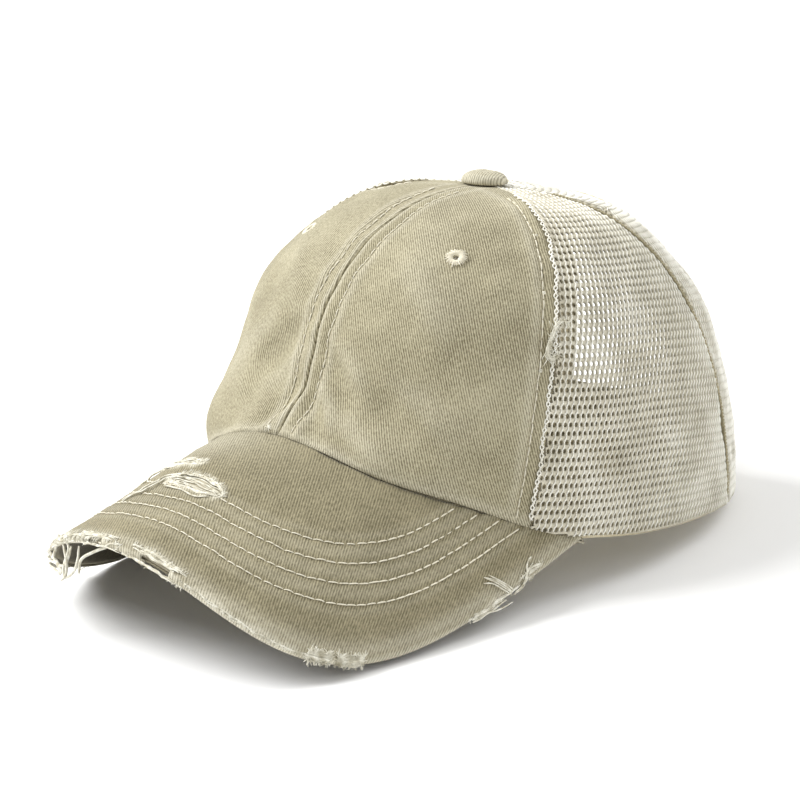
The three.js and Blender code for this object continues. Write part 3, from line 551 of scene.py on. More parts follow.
# Pressed and sewn forms beside the centre seam and the side seam: distance from the seam, half
# width and height, where a height below zero is a row or a seam that sinks in
CENTRE_FORMS = (
    (2.2, 1.9, 0.32),
    (0, 0.45, -0.8),
    (SEAM_ROW, 0.9, -0.45),
    (SEAM_ROW + 2.2, 1.5, 0.28),
)
SIDE_FORMS = (
    (SIDE_ROW + 2.4, 1.7, 0.3),
    (SIDE_ROW, 0.9, -0.5),
    (2.8, 1.6, 0.2),
    (0, 1.4, -0.35),
)
# Bleached lines on the raised folds beside both seams: distance, half width and strength
CENTRE_WEAR = ((1.3, 0.8, 0.34), (SEAM_ROW + 2.0, 1.6, 0.22))
SIDE_WEAR = ((SIDE_ROW + 2.4, 1.8, 0.2),)
# The relief fades out under the button, between these rises
UNDER_BUTTON = (1.25, 1.5)


def forms(distance, table):
    """Sum of the bumps in a table of distance, half width and height."""
    return sum(height * bell(distance, place, width) for place, width, height in table)


def crease_depth(angle, level, radius):
    """Depth of the creases, each a soft line that fades out towards its ends."""
    depth = 0.0
    for start, low, end, high, width, deep in CREASES:
        x, y = (wrap(angle) - math.radians(start)) * radius, (level - low) * CROWN_HEIGHT
        dx = math.radians(end - start) * CROWN_FRONT * 0.95
        dy = (high - low) * CROWN_HEIGHT
        reach = math.hypot(dx, dy)
        along, aside = (x * dx + y * dy) / reach, (y * dx - x * dy) / reach
        aside = aside - CREASE_SWAY * np.sin(along / reach * CREASE_SWAYS)
        fade = smooth(along, -0.15 * reach, 0.3 * reach) * (1 - smooth(along, 0.6 * reach, 1.25 * reach))
        # The cloth rises a little on one side of a crease
        section = bell(aside, 0, width) - 0.6 * bell(aside, width * 1.5, width)
        depth = depth + CREASE_SHARPNESS * deep * fade * section
    return depth


def twill_relief(angle, rise):
    """Height of the cloth over the crown's smooth form, and how worn it is."""
    radius = level_radius(angle, rise)
    level = crown(angle, rise)[..., 2] / CROWN_HEIGHT
    from_middle = np.abs(wrap(angle)) * radius
    from_side = (seam_angle(SIDE_SEAM, rise) - np.abs(wrap(angle))) * radius
    across, height = wrap(angle) * radius, level * CROWN_HEIGHT
    # Seams and rows, the puckers that they draw into the cloth, and its own softness
    lift = forms(from_middle, CENTRE_FORMS) + forms(from_side, SIDE_FORMS)
    lift = lift + 0.3 * ripple(height, across * 0.35, 7.5, 11) * bell(from_middle, 4.5, 4.5)
    lift = lift + 0.2 * ripple(height, angle * 20, 6.0, 12) * bell(from_side, 5, 4)
    soft = 0.5 * ripple(across, height, 34, 13) + 0.16 * ripple(across, height, 11, 14)
    folds = crease_depth(angle, level, radius)
    raised = (lift + soft - folds) * (1 - smooth(rise, *UNDER_BUTTON))
    # The cloth can't sink into the lining behind it
    raised = np.where(raised < 0, LOWEST_SINK * np.tanh(raised / LOWEST_SINK), raised)
    rubbed = forms(from_middle, CENTRE_WEAR) + forms(from_side, SIDE_WEAR)
    rubbed = rubbed + 0.2 * np.clip(-folds, 0, 1) + 0.09 * np.clip(soft, 0, 1)
    return raised, np.clip(rubbed, 0, 1)


def length_along(line):
    """Distance along a line from its start to each of its points."""
    return np.concatenate([[0], np.cumsum(np.linalg.norm(np.diff(line, axis=0), axis=-1))])


def gore_flat(angle, rise, sign):
    """Place on the flat cloth of a front panel, whose warp runs up the gore's own middle."""
    middle = sign * seam_angle(SIDE_SEAM, rise) / 2
    rises = np.linspace(0, QUARTER, 400)
    line = crown(sign * seam_angle(SIDE_SEAM, rises) / 2, rises)
    climbs = length_along(line)
    return np.stack([(angle - middle) * level_radius(angle, rise), np.interp(rise, rises, climbs)], -1)


def panel_start(rise):
    """Angle of a front panel's edge at the centre seam."""
    return SEAM_GAP / 2 / level_radius(0, rise)


def panel_end(rise):
    """Angle of a front panel's edge at the side seam."""
    seam = seam_angle(SIDE_SEAM, rise)
    return seam - SEAM_GAP / 2 / level_radius(seam, rise)


# The turned hem: the relief sets in within a row of the hem, and its folded edge is worn
HEM_RELIEF, HEM_LENGTH, HEM_FOLD, HEM_FOLD_WIDTH, HEM_WEAR = 150, 140, 1.0, 1.6, 0.3


def front_panel(side, sign):
    """One front panel with the eyelet's hole, right through both faces of the cloth."""
    edges = (lambda rise: sign * panel_start(rise), lambda rise: sign * panel_end(rise))
    # Rows and columns crowd towards the seams and the hem, where the cloth turns sharply
    acrosses = np.linspace(0, 1, PANEL_COLUMNS)
    acrosses = acrosses - SEAM_CROWDING * np.sin(2 * math.pi * acrosses) / (2 * math.pi)
    ups = np.linspace(0, 1, PANEL_ROWS)
    angle, rise = crown_grid(edges, ups, acrosses)
    raised, worn = twill_relief(angle, rise)
    flat = gore_flat(angle, rise, sign)
    worn = np.maximum(worn, HEM_WEAR * bell(ups * HEM_LENGTH, HEM_FOLD, HEM_FOLD_WIDTH)[:, None])
    raised = raised * np.minimum(ups * HEM_RELIEF, 1)[:, None]
    points = np.stack([wall(angle, rise, -raised), wall(angle, rise, TWILL_WALL - raised)])
    eye = crown(np.array(sign * EYELET_ANGLE), np.array(EYELET_RISE))
    middles = (points[0][:-1, :-1] + points[0][1:, 1:] + points[0][:-1, 1:] + points[0][1:, :-1]) / 4
    keep = np.linalg.norm(middles - eye, axis=-1) > EYELET_CUT
    add_piece(
        f"front_panel_twill_{side}",
        points,
        sheet_faces(PANEL_ROWS, PANEL_COLUMNS, keep),
        crown_twill,
        flat=np.stack([flat, flat]),
        wear_and_painted_light=np.stack([worn, worn * 0]),
        stands_for=[f"front_panel_{side}"],
    )


for side, sign in SIDES:
    front_panel(side, sign)


# Net panels: side and back gores of knitted polyester mesh. Rows of round holes 2 mm apart stand
# half a hole over from row to row; between them run raised slanting yarns and a flatter knit
# band. The gores are cut from straight-knitted cloth, so the seams cut through the rows.
HOLE_PITCH, HOLE_ROW = 2.0, 2.8
HOLE_WIDTH, HOLE_HEIGHT, HOLE_LEAN = 1.34, 1.6, 0.2
# Power that squares a hole off, and how much taller than wide its corners are set
HOLE_SQUARE, HOLE_TALL = 0.82, 1.05
# How far a hole's middle keeps from a seam, in pitches, and over the hem, as a rise
SEAM_CLEAR, HEM_CLEAR = 0.35, 0.004
NET_THICKNESS, YARN_CREST = 0.75, 0.3
# Painted light of the one net yarn: lightness of the band between rows (painted shade), of how much a crest
# adds (painted highlight), of a hole's rim and of the inside face
BAND_PAINTED_LIGHT, CREST_PAINTED_HIGHLIGHT, RIM_PAINTED_LIGHT, INSIDE_PAINTED_LIGHT, RAISED_PAINTED_HIGHLIGHT = 0.1, 0.4, 0.3, 0.35, 0.8
YARN_RINGS, YARN_RADIUS = 4, 0.27
NET_LIES = 0.25
HOLE_SIDES = 8
# Places across a gore at which the crown's angle is looked up
NET_STATIONS = 90
# Whole numbers that tell the border points of a gore apart: a row's step and its middle
KEY_STEP, KEY_MIDDLE = 4000, 1000


# Knitted polyester: slightly glossy filament yarn, off-white. Its colour carries painted light: lighter on
# the raised yarns and crests as painted highlight, greyer in the dense bands between the rows of holes as
# painted shade.
net_yarn, tree, shader = new_material("knitted_polyester_net", 0.55, Sheen_Weight=0.1, Sheen_Roughness=0.4)
# On the net pieces this layer holds only painted light: painted highlight on raised yarns and crests, painted
# shade in bands and rims
painted_yarn_light = add_node(tree, "Attribute", {}, attribute_name="wear_and_painted_light")
space = add_node(tree, "TexCoord", {})
soiling = add_node(tree, "TexNoise", {"Vector": space.outputs["Object"], "Scale": 60.0, "Detail": 4.0})
filament = add_node(tree, "TexNoise", {"Vector": space.outputs["Object"], "Scale": 2600.0, "Detail": 2.0})
lightness = add_node(tree, "Math", {0: painted_yarn_light.outputs["Fac"], 1: soiling.outputs["Fac"]}, operation="ADD")
toned = add_node(
    tree, "MapRange", {"Value": lightness.outputs["Value"], "From Min": 0.35, "From Max": 1.35}
)
shade = add_node(tree, "ValToRGB", {"Fac": toned.outputs["Result"]})
shade.color_ramp.elements[0].color = linear("#a9a28c")
shade.color_ramp.elements[1].color = linear("#faf8ee")
shade.color_ramp.elements.new(0.5).color = linear("#cbc5b1")
tree.links.new(shade.outputs["Color"], shader.inputs["Base Color"])
twist = add_node(tree, "Bump", {"Height": filament.outputs["Fac"], "Strength": 0.35, "Distance": 0.00015})
tree.links.new(twist.outputs["Normal"], shader.inputs["Normal"])


def tubes(paths, normals, radii, sides=4):
    """Closed tubes along paths of equal point counts, each ring with its own radius."""
    paths, normals, radii = np.asarray(paths, float), np.asarray(normals, float), np.asarray(radii, float)
    count, rings = paths.shape[:2]
    tangent = unit(np.gradient(paths, axis=1))
    aside = unit(np.cross(tangent, normals))
    up = np.cross(aside, tangent)
    turns = np.arange(sides) * 2 * math.pi / sides
    spokes = aside[:, :, None] * np.cos(turns)[:, None] + up[:, :, None] * np.sin(turns)[:, None]
    points = paths[:, :, None] + spokes * radii[..., None, None]
    at = np.arange(count * rings * sides).reshape(count, rings, sides)
    after = np.roll(at, -1, 2)
    quads = np.stack([at[:, :-1], after[:, :-1], after[:, 1:], at[:, 1:]], -1).reshape(-1, 4)
    caps = []
    for ring, way in ((0, -1), (rings - 1, 1)):
        corners = at[:, ring]
        for k in range(0, sides - 2, 2):
            four = corners[:, [0, k + 1, k + 2, (k + 3) % sides]]
            caps.append(four[:, ::way])
    return points.reshape(-1, 3), np.concatenate([quads, *caps])


def gore_levels(edges):
    """Fine rises up a gore's middle line with their lengths, and for every quarter row its rise
    and the angles across it with their distances from the middle line."""

    def middle(rise):
        return (edges[0](rise) + edges[1](rise)) / 2

    fine = np.linspace(0, 1, 241)
    rises = fine * (rise_at_radius(middle(QUARTER * 0.9) + 0 * fine[:1], APEX_HOLE)[0])
    lengths = length_along(crown(middle(rises), rises))
    rows = int(lengths[-1] / HOLE_ROW)
    level_rises = np.interp(np.arange(rows * 4 + 1) * HOLE_ROW / 4, lengths, rises)
    runs, angles = [], []
    for rise in level_rises:
        angle = np.linspace(edges[0](rise), edges[1](rise), NET_STATIONS)
        run = length_along(crown(angle, np.full(NET_STATIONS, rise)))
        way = 1 if angle[-1] > angle[0] else -1
        runs.append(run - np.interp(middle(rise), angle[::way], run[::way]))
        angles.append(angle)
    return rises, lengths, level_rises, np.array(runs), np.array(angles)


def hole_middles(level_rises, runs, angles, slip):
    """Middles of the holes that lie whole between a gore's seams and above its hem."""
    middles = []
    for row in range(len(level_rises) // 4):
        level = row * 4 + 2
        shift = HOLE_PITCH / 2 * (row % 2) + slip
        first = math.ceil((runs[level, 0] + SEAM_CLEAR * HOLE_PITCH - shift) / HOLE_PITCH - 0.5)
        last = math.floor((runs[level, -1] - SEAM_CLEAR * HOLE_PITCH - shift) / HOLE_PITCH - 0.5)
        for column in range(first, last + 1):
            x = (column + 0.5) * HOLE_PITCH + shift
            angle = np.interp(x, runs[level], angles[level])
            if level_rises[level] > hem_rise(angle) - HEM_CLEAR:
                middles.append((x, (row + 0.5) * HOLE_ROW))
    return np.array(middles).T


def gore_places(levels, overlap):
    """How a gore's flat places, level from its middle line and up from its hem, lie on the crown."""
    rises, lengths, level_rises, runs, angles = levels
    starts_in_front = abs(angles[0, 0]) < abs(angles[0, -1])

    def angle_in(level, x):
        """Angle at a distance x from the gore's middle, on one of its levels."""
        share = (x - runs[level, 0]) / (runs[level, -1] - runs[level, 0])
        place = np.clip(share, 0, 1) * (NET_STATIONS - 1)
        last = NET_STATIONS - 2
        start = np.minimum(place.astype(int), last)
        for _ in range(3):
            below = runs[level, np.minimum(start + 1, last + 1)] < x
            above = runs[level, start] > x
            start = np.clip(start + below.astype(int) - above.astype(int), 0, last)
        part = (x - runs[level, start]) / (runs[level, start + 1] - runs[level, start])
        return angles[level, start] + (angles[level, start + 1] - angles[level, start]) * np.clip(part, 0, 1)

    def placed(x, y):
        """Angle, rise and height over the crown of a place of the flat gore, held in its seams."""
        step = np.clip(y / (HOLE_ROW / 4), 0, len(level_rises) - 1.001)
        base = step.astype(int)
        least, most = (np.interp(step, np.arange(len(runs)), runs[:, end]) for end in (0, -1))
        x = np.clip(x, least, most)
        part = step - base
        angle = angle_in(base, x) * (1 - part) + angle_in(base + 1, x) * part
        rise = np.maximum(np.interp(y, lengths, rises), hem_rise(angle))
        lies = 0.45 * ripple(x, y, 42, 31) + 0.18 * ripple(x, y, 15, 32) - NET_LIES
        near, far = (x - least, most - x) if starts_in_front else (most - x, x - least)
        lies = lies + overlap * (1 - smooth(near, 0.8, 2.6))
        rear = far if overlap > 0 else near
        return angle, rise, lies - SEAM_SINK * (1 - smooth(rear, 0.2, 2.6))

    return placed


def raised_yarns(name, placed, centre_x, centre_y, most_x, most_y, draw):
    """Yarns that each climb straight between two holes, then slant over the band above them."""
    climb = np.linspace(0, 1, YARN_RINGS)
    half = HOLE_PITCH / 2
    x = centre_x[:, None] + half + (half * smooth(climb, 0.2, 0.8) - 0.12)[None, :]
    y = centre_y[:, None] + HOLE_ROW * (climb - 0.18)[None, :]
    angle, rise, lies = placed(x, y)
    keep = (centre_y < most_y - HOLE_ROW) & (x.max(1) < most_x - 0.2)
    height = lies + YARN_CREST * 0.7 + YARN_RADIUS * 0.5 * np.sin(climb * math.pi)[None, :]
    path = wall(angle, rise, -height)[keep]
    thick = YARN_RADIUS * (1 + draw.normal(0, 0.08, (len(path), 1)))
    thick = thick * (0.75 + 0.3 * np.sin(climb * math.pi))[None, :]
    points, faces = tubes(path, crown_normal(angle, rise)[keep], thick)
    # Raised yarns get the lightest value of the net: painted highlight
    light = np.full(len(points), RAISED_PAINTED_HIGHLIGHT)
    add_piece(f"{name}_yarns", points, faces, net_yarn, wear_and_painted_light=light)


def net_panel(name, edges, node, slip=0.0, overlap=0.0):
    """A gore of net, knitted cell by cell, with its raised yarns."""
    levels = gore_levels(edges)
    _, _, level_rises, runs, angles = levels
    placed = gore_places(levels, overlap)
    centre_x, centre_y = hole_middles(level_rises, runs, angles, slip)
    count = len(centre_x)
    # Border of a cell, from its lower left corner round to the left; crests where yarns cross
    half = HOLE_PITCH / 2
    border = np.array([
        (-half, -1), (0, -1), (half, -1), (half, 0),
        (half, 1), (0, 1), (-half, 1), (-half, 0),
    ])
    crest = np.array([0.45, 0.45, 0.45, 1.0, 0.45, 0.45, 0.45, 1.0])
    turns = np.arctan2(border[:, 1] * HOLE_TALL, border[:, 0] / half)
    ring = np.stack([
        HOLE_WIDTH / 2 * np.sign(np.cos(turns)) * np.abs(np.cos(turns)) ** HOLE_SQUARE,
        HOLE_HEIGHT / 2 * np.sign(np.sin(turns)) * np.abs(np.sin(turns)) ** HOLE_SQUARE,
    ], -1)
    ring[:, 0] += HOLE_LEAN * ring[:, 1]
    draw = np.random.default_rng(count)
    size = 1 + draw.normal(0, 0.05, (count, 1))
    border_x = centre_x[:, None] + border[None, :, 0]
    border_y = centre_y[:, None] + border[None, :, 1] * HOLE_ROW / 2
    ring_x = centre_x[:, None] + ring[None, :, 0] * size + draw.normal(0, 0.04, (count, 1))
    ring_y = centre_y[:, None] + ring[None, :, 1] * size
    x, y = np.stack([border_x, ring_x], 1), np.stack([border_y, ring_y], 1)
    angle, rise, lies = placed(x, y)
    raised = np.zeros_like(x)
    raised[:, 0] = YARN_CREST * crest[None, :]
    # Painted light per point: crests lighter as painted highlight, the band and the hole's rim darker as
    # painted shade
    light = np.zeros_like(x)
    light[:, 0] = BAND_PAINTED_LIGHT + CREST_PAINTED_HIGHLIGHT * crest[None, :]
    light[:, 1] = RIM_PAINTED_LIGHT
    outside = wall(angle, rise, -lies - raised)
    inside = wall(angle, rise, NET_THICKNESS - lies)
    level_y = np.arange(len(runs)) * HOLE_ROW / 4
    most_x = np.interp(centre_y, level_y, runs[:, -1])
    raised_yarns(name, placed, centre_x, centre_y, most_x, level_y[-1], draw)
    # One vertex where neighbouring cells meet: borders are keyed by quarter pitches and half rows
    key_x = np.round((border_x - slip) / (HOLE_PITCH / 4)).astype(np.int64) + KEY_MIDDLE
    key_y = np.round(border_y / (HOLE_ROW / 2)).astype(np.int64)
    keys = key_y * KEY_STEP + key_x
    _, first_at, shared = np.unique(keys.ravel(), return_index=True, return_inverse=True)
    shared = shared.reshape(count, HOLE_SIDES)
    borders = len(first_at)
    rings = borders + np.arange(count * HOLE_SIDES).reshape(count, HOLE_SIDES)
    total = borders + count * HOLE_SIDES

    def picked(grid):
        """The border points, once each, then every hole's own ring."""
        borders_of, rings_of = (grid[:, part].reshape(count * HOLE_SIDES, -1) for part in (0, 1))
        return np.concatenate([borders_of[first_at], rings_of])

    points = np.concatenate([picked(outside), picked(inside)])
    wear_and_painted_light = picked(light[..., None])[:, 0]
    wear_and_painted_light = np.concatenate([wear_and_painted_light, np.full(len(wear_and_painted_light), INSIDE_PAINTED_LIGHT)])
    after = np.roll(np.arange(HOLE_SIDES), -1)
    front = np.stack([shared, shared[:, after], rings[:, after], rings], -1).reshape(-1, 4)
    hole = np.stack([rings, rings[:, after], rings[:, after] + total, rings + total], -1).reshape(-1, 4)
    # Rim of the gore: border edges that one cell alone uses
    pairs = np.stack([shared, shared[:, after]], -1).reshape(-1, 2)
    ordered = np.sort(pairs, 1)
    _, where, uses = np.unique(ordered[:, 0] * total + ordered[:, 1], return_index=True, return_counts=True)
    a, b = pairs[where[uses == 1]].T
    rim = np.stack([b, a, a + total, b + total], -1)
    faces = np.concatenate([front, front[:, ::-1] + total, hole, rim])
    return add_piece(name, points, faces, net_yarn, wear_and_painted_light=wear_and_painted_light, stands_for=[node])


OPENING_TOP, OPENING_HALF_WIDTH, ARCH_POWER = 1.2227963, 36.0, 2.3
# How far a side net laps over the front panel and how high, and how deep the rear seam pulls it in
NET_OVERLAP, OVERLAP_HEIGHT, SEAM_SINK = 1.0, 0.75, 0.55
# How far the binding holds the net, how far the back net's rows are shifted, and its seam
BINDING_BIGHT, BACK_SLIP, BACK_SEAM_GAP = 1.0, 0.7, 0.002
# Radius of the crown under which the side net's lap isn't drawn out any further round
LEAST_RADIUS = 6


def opening_angle(rise, sign, away):
    """Edge of the ponytail opening's arch on one side, moved out from the opening."""
    top = OPENING_TOP + away / CROWN_REAR
    up = np.clip(rise / top, 0, 1)
    half = (OPENING_HALF_WIDTH + away) * (1 - up**ARCH_POWER) ** 0.5
    return sign * (math.pi - half / level_radius(np.full(np.shape(rise), math.pi), rise))


def over_panel(rise, sign):
    """Cut edge of a side net, which laps over the front panel."""
    radius = np.maximum(level_radius(sign, rise), LEAST_RADIUS)
    return sign * (seam_angle(SIDE_SEAM, rise) - NET_OVERLAP / radius)


def under_binding(rise, sign):
    """Cut edge of a back net inside the opening's binding, or the centre back seam above it."""
    arch = np.abs(opening_angle(rise, sign, BINDING_BIGHT))
    return sign * np.minimum(math.pi - BACK_SEAM_GAP, arch)


for side, sign in SIDES:
    rear = lambda rise: sign * seam_angle(REAR_SEAM, rise)
    front_edge, back_edge = (lambda rise: over_panel(rise, sign)), (lambda rise: under_binding(rise, sign))
    net_panel(f"side_net_{side}", (front_edge, rear), f"side_mesh_{side}", overlap=OVERLAP_HEIGHT)
    net_panel(f"back_net_{side}", (rear, back_edge), f"back_mesh_{side}", slip=BACK_SLIP)


# Peak: two covers of the same twill over a thin felted board, turned in at the edge and quilted
# to the board by four rows of topstitching. The front edge is worn through to the board in
# places, and two rips near the crown show its pale bare threads.
PEAK_WALL, PEAK_GAP, PEAK_TUCK, UNDER_INSET = 1.3, 0.3, 0.5, 0.8
PEAK_CLOTH, BOARD_WALL = 0.5, 0.7
# The top cover's edge rolls down over the board within EDGE_ROLL, by a share of it
EDGE_ROLL, ROLL_DROP = 2.6, 0.62
QUILT_ROWS = (15.9, 21.98, 28.05, 34.13)
PEAK_COLUMNS, PEAK_ROWS = 280, 88
PEAK_BACK = PEAK_WIDEST_BEHIND - CROWN_FRONT
# The corners run on to a point, from this share of the way out
CORNER_POINT, CORNER_FROM, CORNER_MEETING = 8.0, 0.96, 0.985


def hem_place(angle):
    """Place of the hem on the peak's flat pattern."""
    point = wall(angle, hem_rise(angle, PEAK_TUCK, 0.0), PEAK_TUCK)
    return np.sign(point[..., 0]) * bend("x", point[..., 0], "flat"), point[..., 1]


def peak_grid(columns, rows, inset=0.0, crowd=1.0):
    """Flat pattern of a cover: columns run from corner to corner, rows from hem to edge."""
    share = np.linspace(-1, 1, columns)
    left = (share >= 0).astype(int)
    size = np.abs(share)
    inner = hem_place(np.sign(share) * size * np.take(CORNER_SPAN, left))
    outer = peak_edge(np.sign(share) * size * np.take(CORNER_TURN, left), inset * (1 - size**8))
    across = (1 - (1 - np.linspace(0, 1, rows)) ** crowd)[None, :]
    inner, outer = np.stack(inner, -1), np.stack(outer, -1)
    # Both edges run on past the corner column and meet in a point under the hem
    for end, before in ((0, 1), (-1, -2)):
        tip = outer[end] + unit(outer[end] - outer[before]) * CORNER_POINT
        near = smooth(size, CORNER_FROM, 1)[:, None] * (np.sign(share) == np.sign(share[end]))[:, None]
        outer, inner = outer + (tip - outer[end]) * near, inner + (tip - inner[end]) * near * CORNER_MEETING
    places = inner[:, None] * (1 - across[..., None]) + outer[:, None] * across[..., None]
    return places[..., 0], places[..., 1], across + 0 * places[..., 0]


# Rounds of halving and the range of insets that they search, out past the edge and in
INSET_HALVINGS, INSET_RANGE = 22, (-4.0, 90.0)


def from_edge(flat, y):
    """Distance in from the peak's outer edge on the flat pattern."""
    left = (flat >= 0).astype(int)
    power, half = np.take(PEAK_ROUND, left), np.take(PEAK_HALF_WIDTH, left)
    low, high = (np.full(flat.shape, end) for end in INSET_RANGE)
    for _ in range(INSET_HALVINGS):
        inset = (low + high) / 2
        across = np.abs(flat) / np.maximum(half - inset, 1e-3)
        along = np.abs(y - PEAK_BACK) / (PEAK_LENGTH + PEAK_WIDEST_BEHIND - inset)
        inside = across**power + along**power < 1
        low, high = np.where(inside, inset, low), np.where(inside, high, inset)
    return low


# Rips through the cloth: middle, half length, half width and turn on the flat pattern
RIPS = ((-24.5, -109.2, 13.0, 1.3, -8), (-3.0, -122.4, 15.5, 3.0, -9))
# Places where the edge is worn through: both ends as turns round the edge, middle and half
# width of the hole in from the edge
EDGE_HOLES = (
    (-0.17, -0.005, 0.6, 1.7),
    (0.035, 0.2, 0.8, 1.7),
    (0.85, 0.92, 0.5, 0.8),
    (1.49, 1.53, 0.5, 0.7),
)
# Stretches where the edge has only lost its colour and grown a fringe
EDGE_WEAR = (
    (-1.25, -0.6, 0.5),
    (-0.75, 0.03, 0.95),
    (0.0, 0.26, 0.9),
    (0.18, 0.8, 0.75),
    (0.76, 1.08, 0.95),
    (1.06, 1.42, 0.45),
    (1.42, 1.62, 0.85),
)
# Faded patch near the crown: middle, half length, half width and strength
FADED = ((-24, -96, 24, 11, 0.3),)


def edge_turn(flat, y):
    """Turn round the outer edge that a place of the flat pattern lies next to."""
    left = (flat >= 0).astype(int)
    power = np.take(PEAK_ROUND, left) / 2
    half = np.take(PEAK_HALF_WIDTH, left)
    across = np.sign(flat) * (np.abs(flat) / half) ** power
    along = -np.sign(y - PEAK_BACK) * (np.abs(y - PEAK_BACK) / (PEAK_LENGTH + PEAK_WIDEST_BEHIND)) ** power
    return np.arctan2(across, along)


def torn(flat, y, inset, turn):
    """Above zero where the cloth is gone, in mm past the ragged line of the tear."""
    rag = 0.45 * ripple(flat, y, 3.2, 41) + 0.25 * ripple(flat, y, 1.7, 42)
    gone = np.full(flat.shape, -9.0)
    for x0, y0, length, width, slant in RIPS:
        c, s = math.cos(math.radians(slant)), math.sin(math.radians(slant))
        along, aside = (flat - x0) * c + (y - y0) * s, (y - y0) * c - (flat - x0) * s
        lens = width * np.sqrt(np.maximum(1 - (along / length) ** 2, 0)) - np.abs(aside)
        gone = np.maximum(gone, lens - np.maximum(np.abs(along) - length, 0))
    for start, end, middle, width in EDGE_HOLES:
        fade = smooth(turn, start, start + 0.05) * (1 - smooth(turn, end - 0.05, end))
        gone = np.maximum(gone, width * fade - np.abs(inset - middle) - 0.15 - 5 * (1 - fade))
    return gone + rag * (gone > -2.5)


def peak_relief(flat, y, inset):
    """Height of the quilted cloth over the peak's smooth form."""
    lift = 0.4 * ripple(flat, y, 48, 51) + 0.14 * ripple(flat, y, 13, 52) + 0.06 * ripple(flat, y, 5, 53)
    for row in QUILT_ROWS:
        lift = lift - 0.34 * bell(inset, row, 0.85) + 0.1 * bell(inset, row, 3.0)
        lift = lift + 0.09 * ripple(flat, y, 4.5, int(row)) * bell(inset, row, 2.4)
    return lift * smooth(inset, 0, 4)


def edge_roll(inset):
    """How far the cloth has rolled down at a distance in from the edge."""
    near = np.clip(1 - inset / EDGE_ROLL, 0, 1)
    return EDGE_ROLL * ROLL_DROP * (1 - np.sqrt(1 - near**2))


def sewn_up(normal, across):
    """Direction of the peak's thickness: straight up at the hem and square to it at the edge."""
    return normal * across[..., None] + np.array([0, 0, 1.0]) * (1 - across[..., None])


def on_peak(flat, y, height=0.0):
    """Place at a height over the finished peak, following its quilting."""
    point, normal = peak_surface(flat, y)
    inset = from_edge(flat, y)
    return point + normal * (peak_relief(flat, y, inset) - edge_roll(inset) + height)[..., None]


PEAK_RIB, PEAK_RIB_TURN = 0.96, math.radians(37)
# The peak's twill colours are set darker than the crown's as painted shade, for the lesser light on the peak
peak_twill_painted_shade = washed_twill(
    "washed_cotton_twill_peak_painted_shade", "#60593f", "#a2997b", "#e3decb", -PEAK_RIB_TURN, PEAK_RIB, 0.8
)
flat, y, across = peak_grid(PEAK_COLUMNS, PEAK_ROWS, crowd=1.35)
inset = from_edge(flat, y)
turn = edge_turn(flat, y)
gone = torn(flat, y, inset, turn)
surface, normal = peak_surface(flat, y)
# Frayed edges lift and curl a little off the board
curl = 0.55 * bell(gone, 0, 1.5) * (gone > -3)
lift = peak_relief(flat, y, inset) - edge_roll(inset) + curl
straight = sewn_up(normal, across)
outer = surface + straight * lift[..., None]
inner = surface + straight * (lift - PEAK_CLOTH)[..., None]
worn = 0.95 * bell(gone, 0, 1.5) * (gone > -5)
for start, end, amount in EDGE_WEAR:
    along = smooth(turn, start, start + 0.1) * (1 - smooth(turn, end - 0.1, end))
    reach = 1.9 + 1.2 * ripple(flat, y, 16, 54)
    worn = np.maximum(worn, amount * along * bell(np.maximum(inset - 0.6, 0), 0, reach))
worn = np.maximum(worn, 0.55 * bell(inset, 0, 1.5))
worn = np.maximum(worn, 0.3 * bell(inset, 3.0, 3.0))
for x0, y0, length, width, amount in FADED:
    worn = np.maximum(worn, amount * bell(np.hypot((flat - x0) / length, (y - y0) / width), 0, 1))
for row in QUILT_ROWS:
    worn = worn + 0.1 * bell(inset, row + 2.2, 1.2) + 0.1 * bell(inset, row - 2.2, 1.2)
cell_gone = (gone[:-1, :-1] + gone[1:, :-1] + gone[:-1, 1:] + gone[1:, 1:]) / 4
keep = cell_gone < 0
places = np.stack([flat, y], -1)
add_piece(
    "peak_twill_top",
    np.stack([outer, inner]),
    sheet_faces(PEAK_COLUMNS, PEAK_ROWS, keep),
    peak_twill_painted_shade,
    flat=np.stack([places, places]),
    wear_and_painted_light=np.stack([worn, worn]),
    stands_for=["peak_top"],
)

# Felted board under the cloth: grey-cream needled fibre, seen only through the rips
felt_board, tree, shader = new_material("needled_felt_board", 0.95)
space = add_node(tree, "TexCoord", {})
fibre = add_node(tree, "TexNoise", {"Vector": space.outputs["Object"], "Scale": 900.0, "Detail": 6.0})
felt = add_node(tree, "ValToRGB", {"Fac": fibre.outputs["Fac"]})
felt.color_ramp.elements[0].color = linear("#8d8672")
felt.color_ramp.elements[1].color = linear("#c9c2ac")
tree.links.new(felt.outputs["Color"], shader.inputs["Base Color"])
nap = add_node(tree, "Bump", {"Height": fibre.outputs["Fac"], "Strength": 0.7, "Distance": 0.0003})
tree.links.new(nap.outputs["Normal"], shader.inputs["Normal"])
BOARD_INSET, BOARD_GAP, BOARD_ROLL = 1.4, 0.12, 0.6
BOARD_COLUMNS, BOARD_ROWS = 110, 30
flat, y, across = peak_grid(BOARD_COLUMNS, BOARD_ROWS, inset=BOARD_INSET)
surface, normal = peak_surface(flat, y)
straight = sewn_up(normal, across)
inset = from_edge(flat, y)
drop = PEAK_CLOTH + BOARD_GAP - peak_relief(flat, y, inset) + edge_roll(inset) * BOARD_ROLL
layers = np.stack([surface - straight * drop[..., None], surface - straight * (drop + BOARD_WALL)[..., None]])
add_piece("peak_board", layers, sheet_faces(BOARD_COLUMNS, BOARD_ROWS), felt_board)

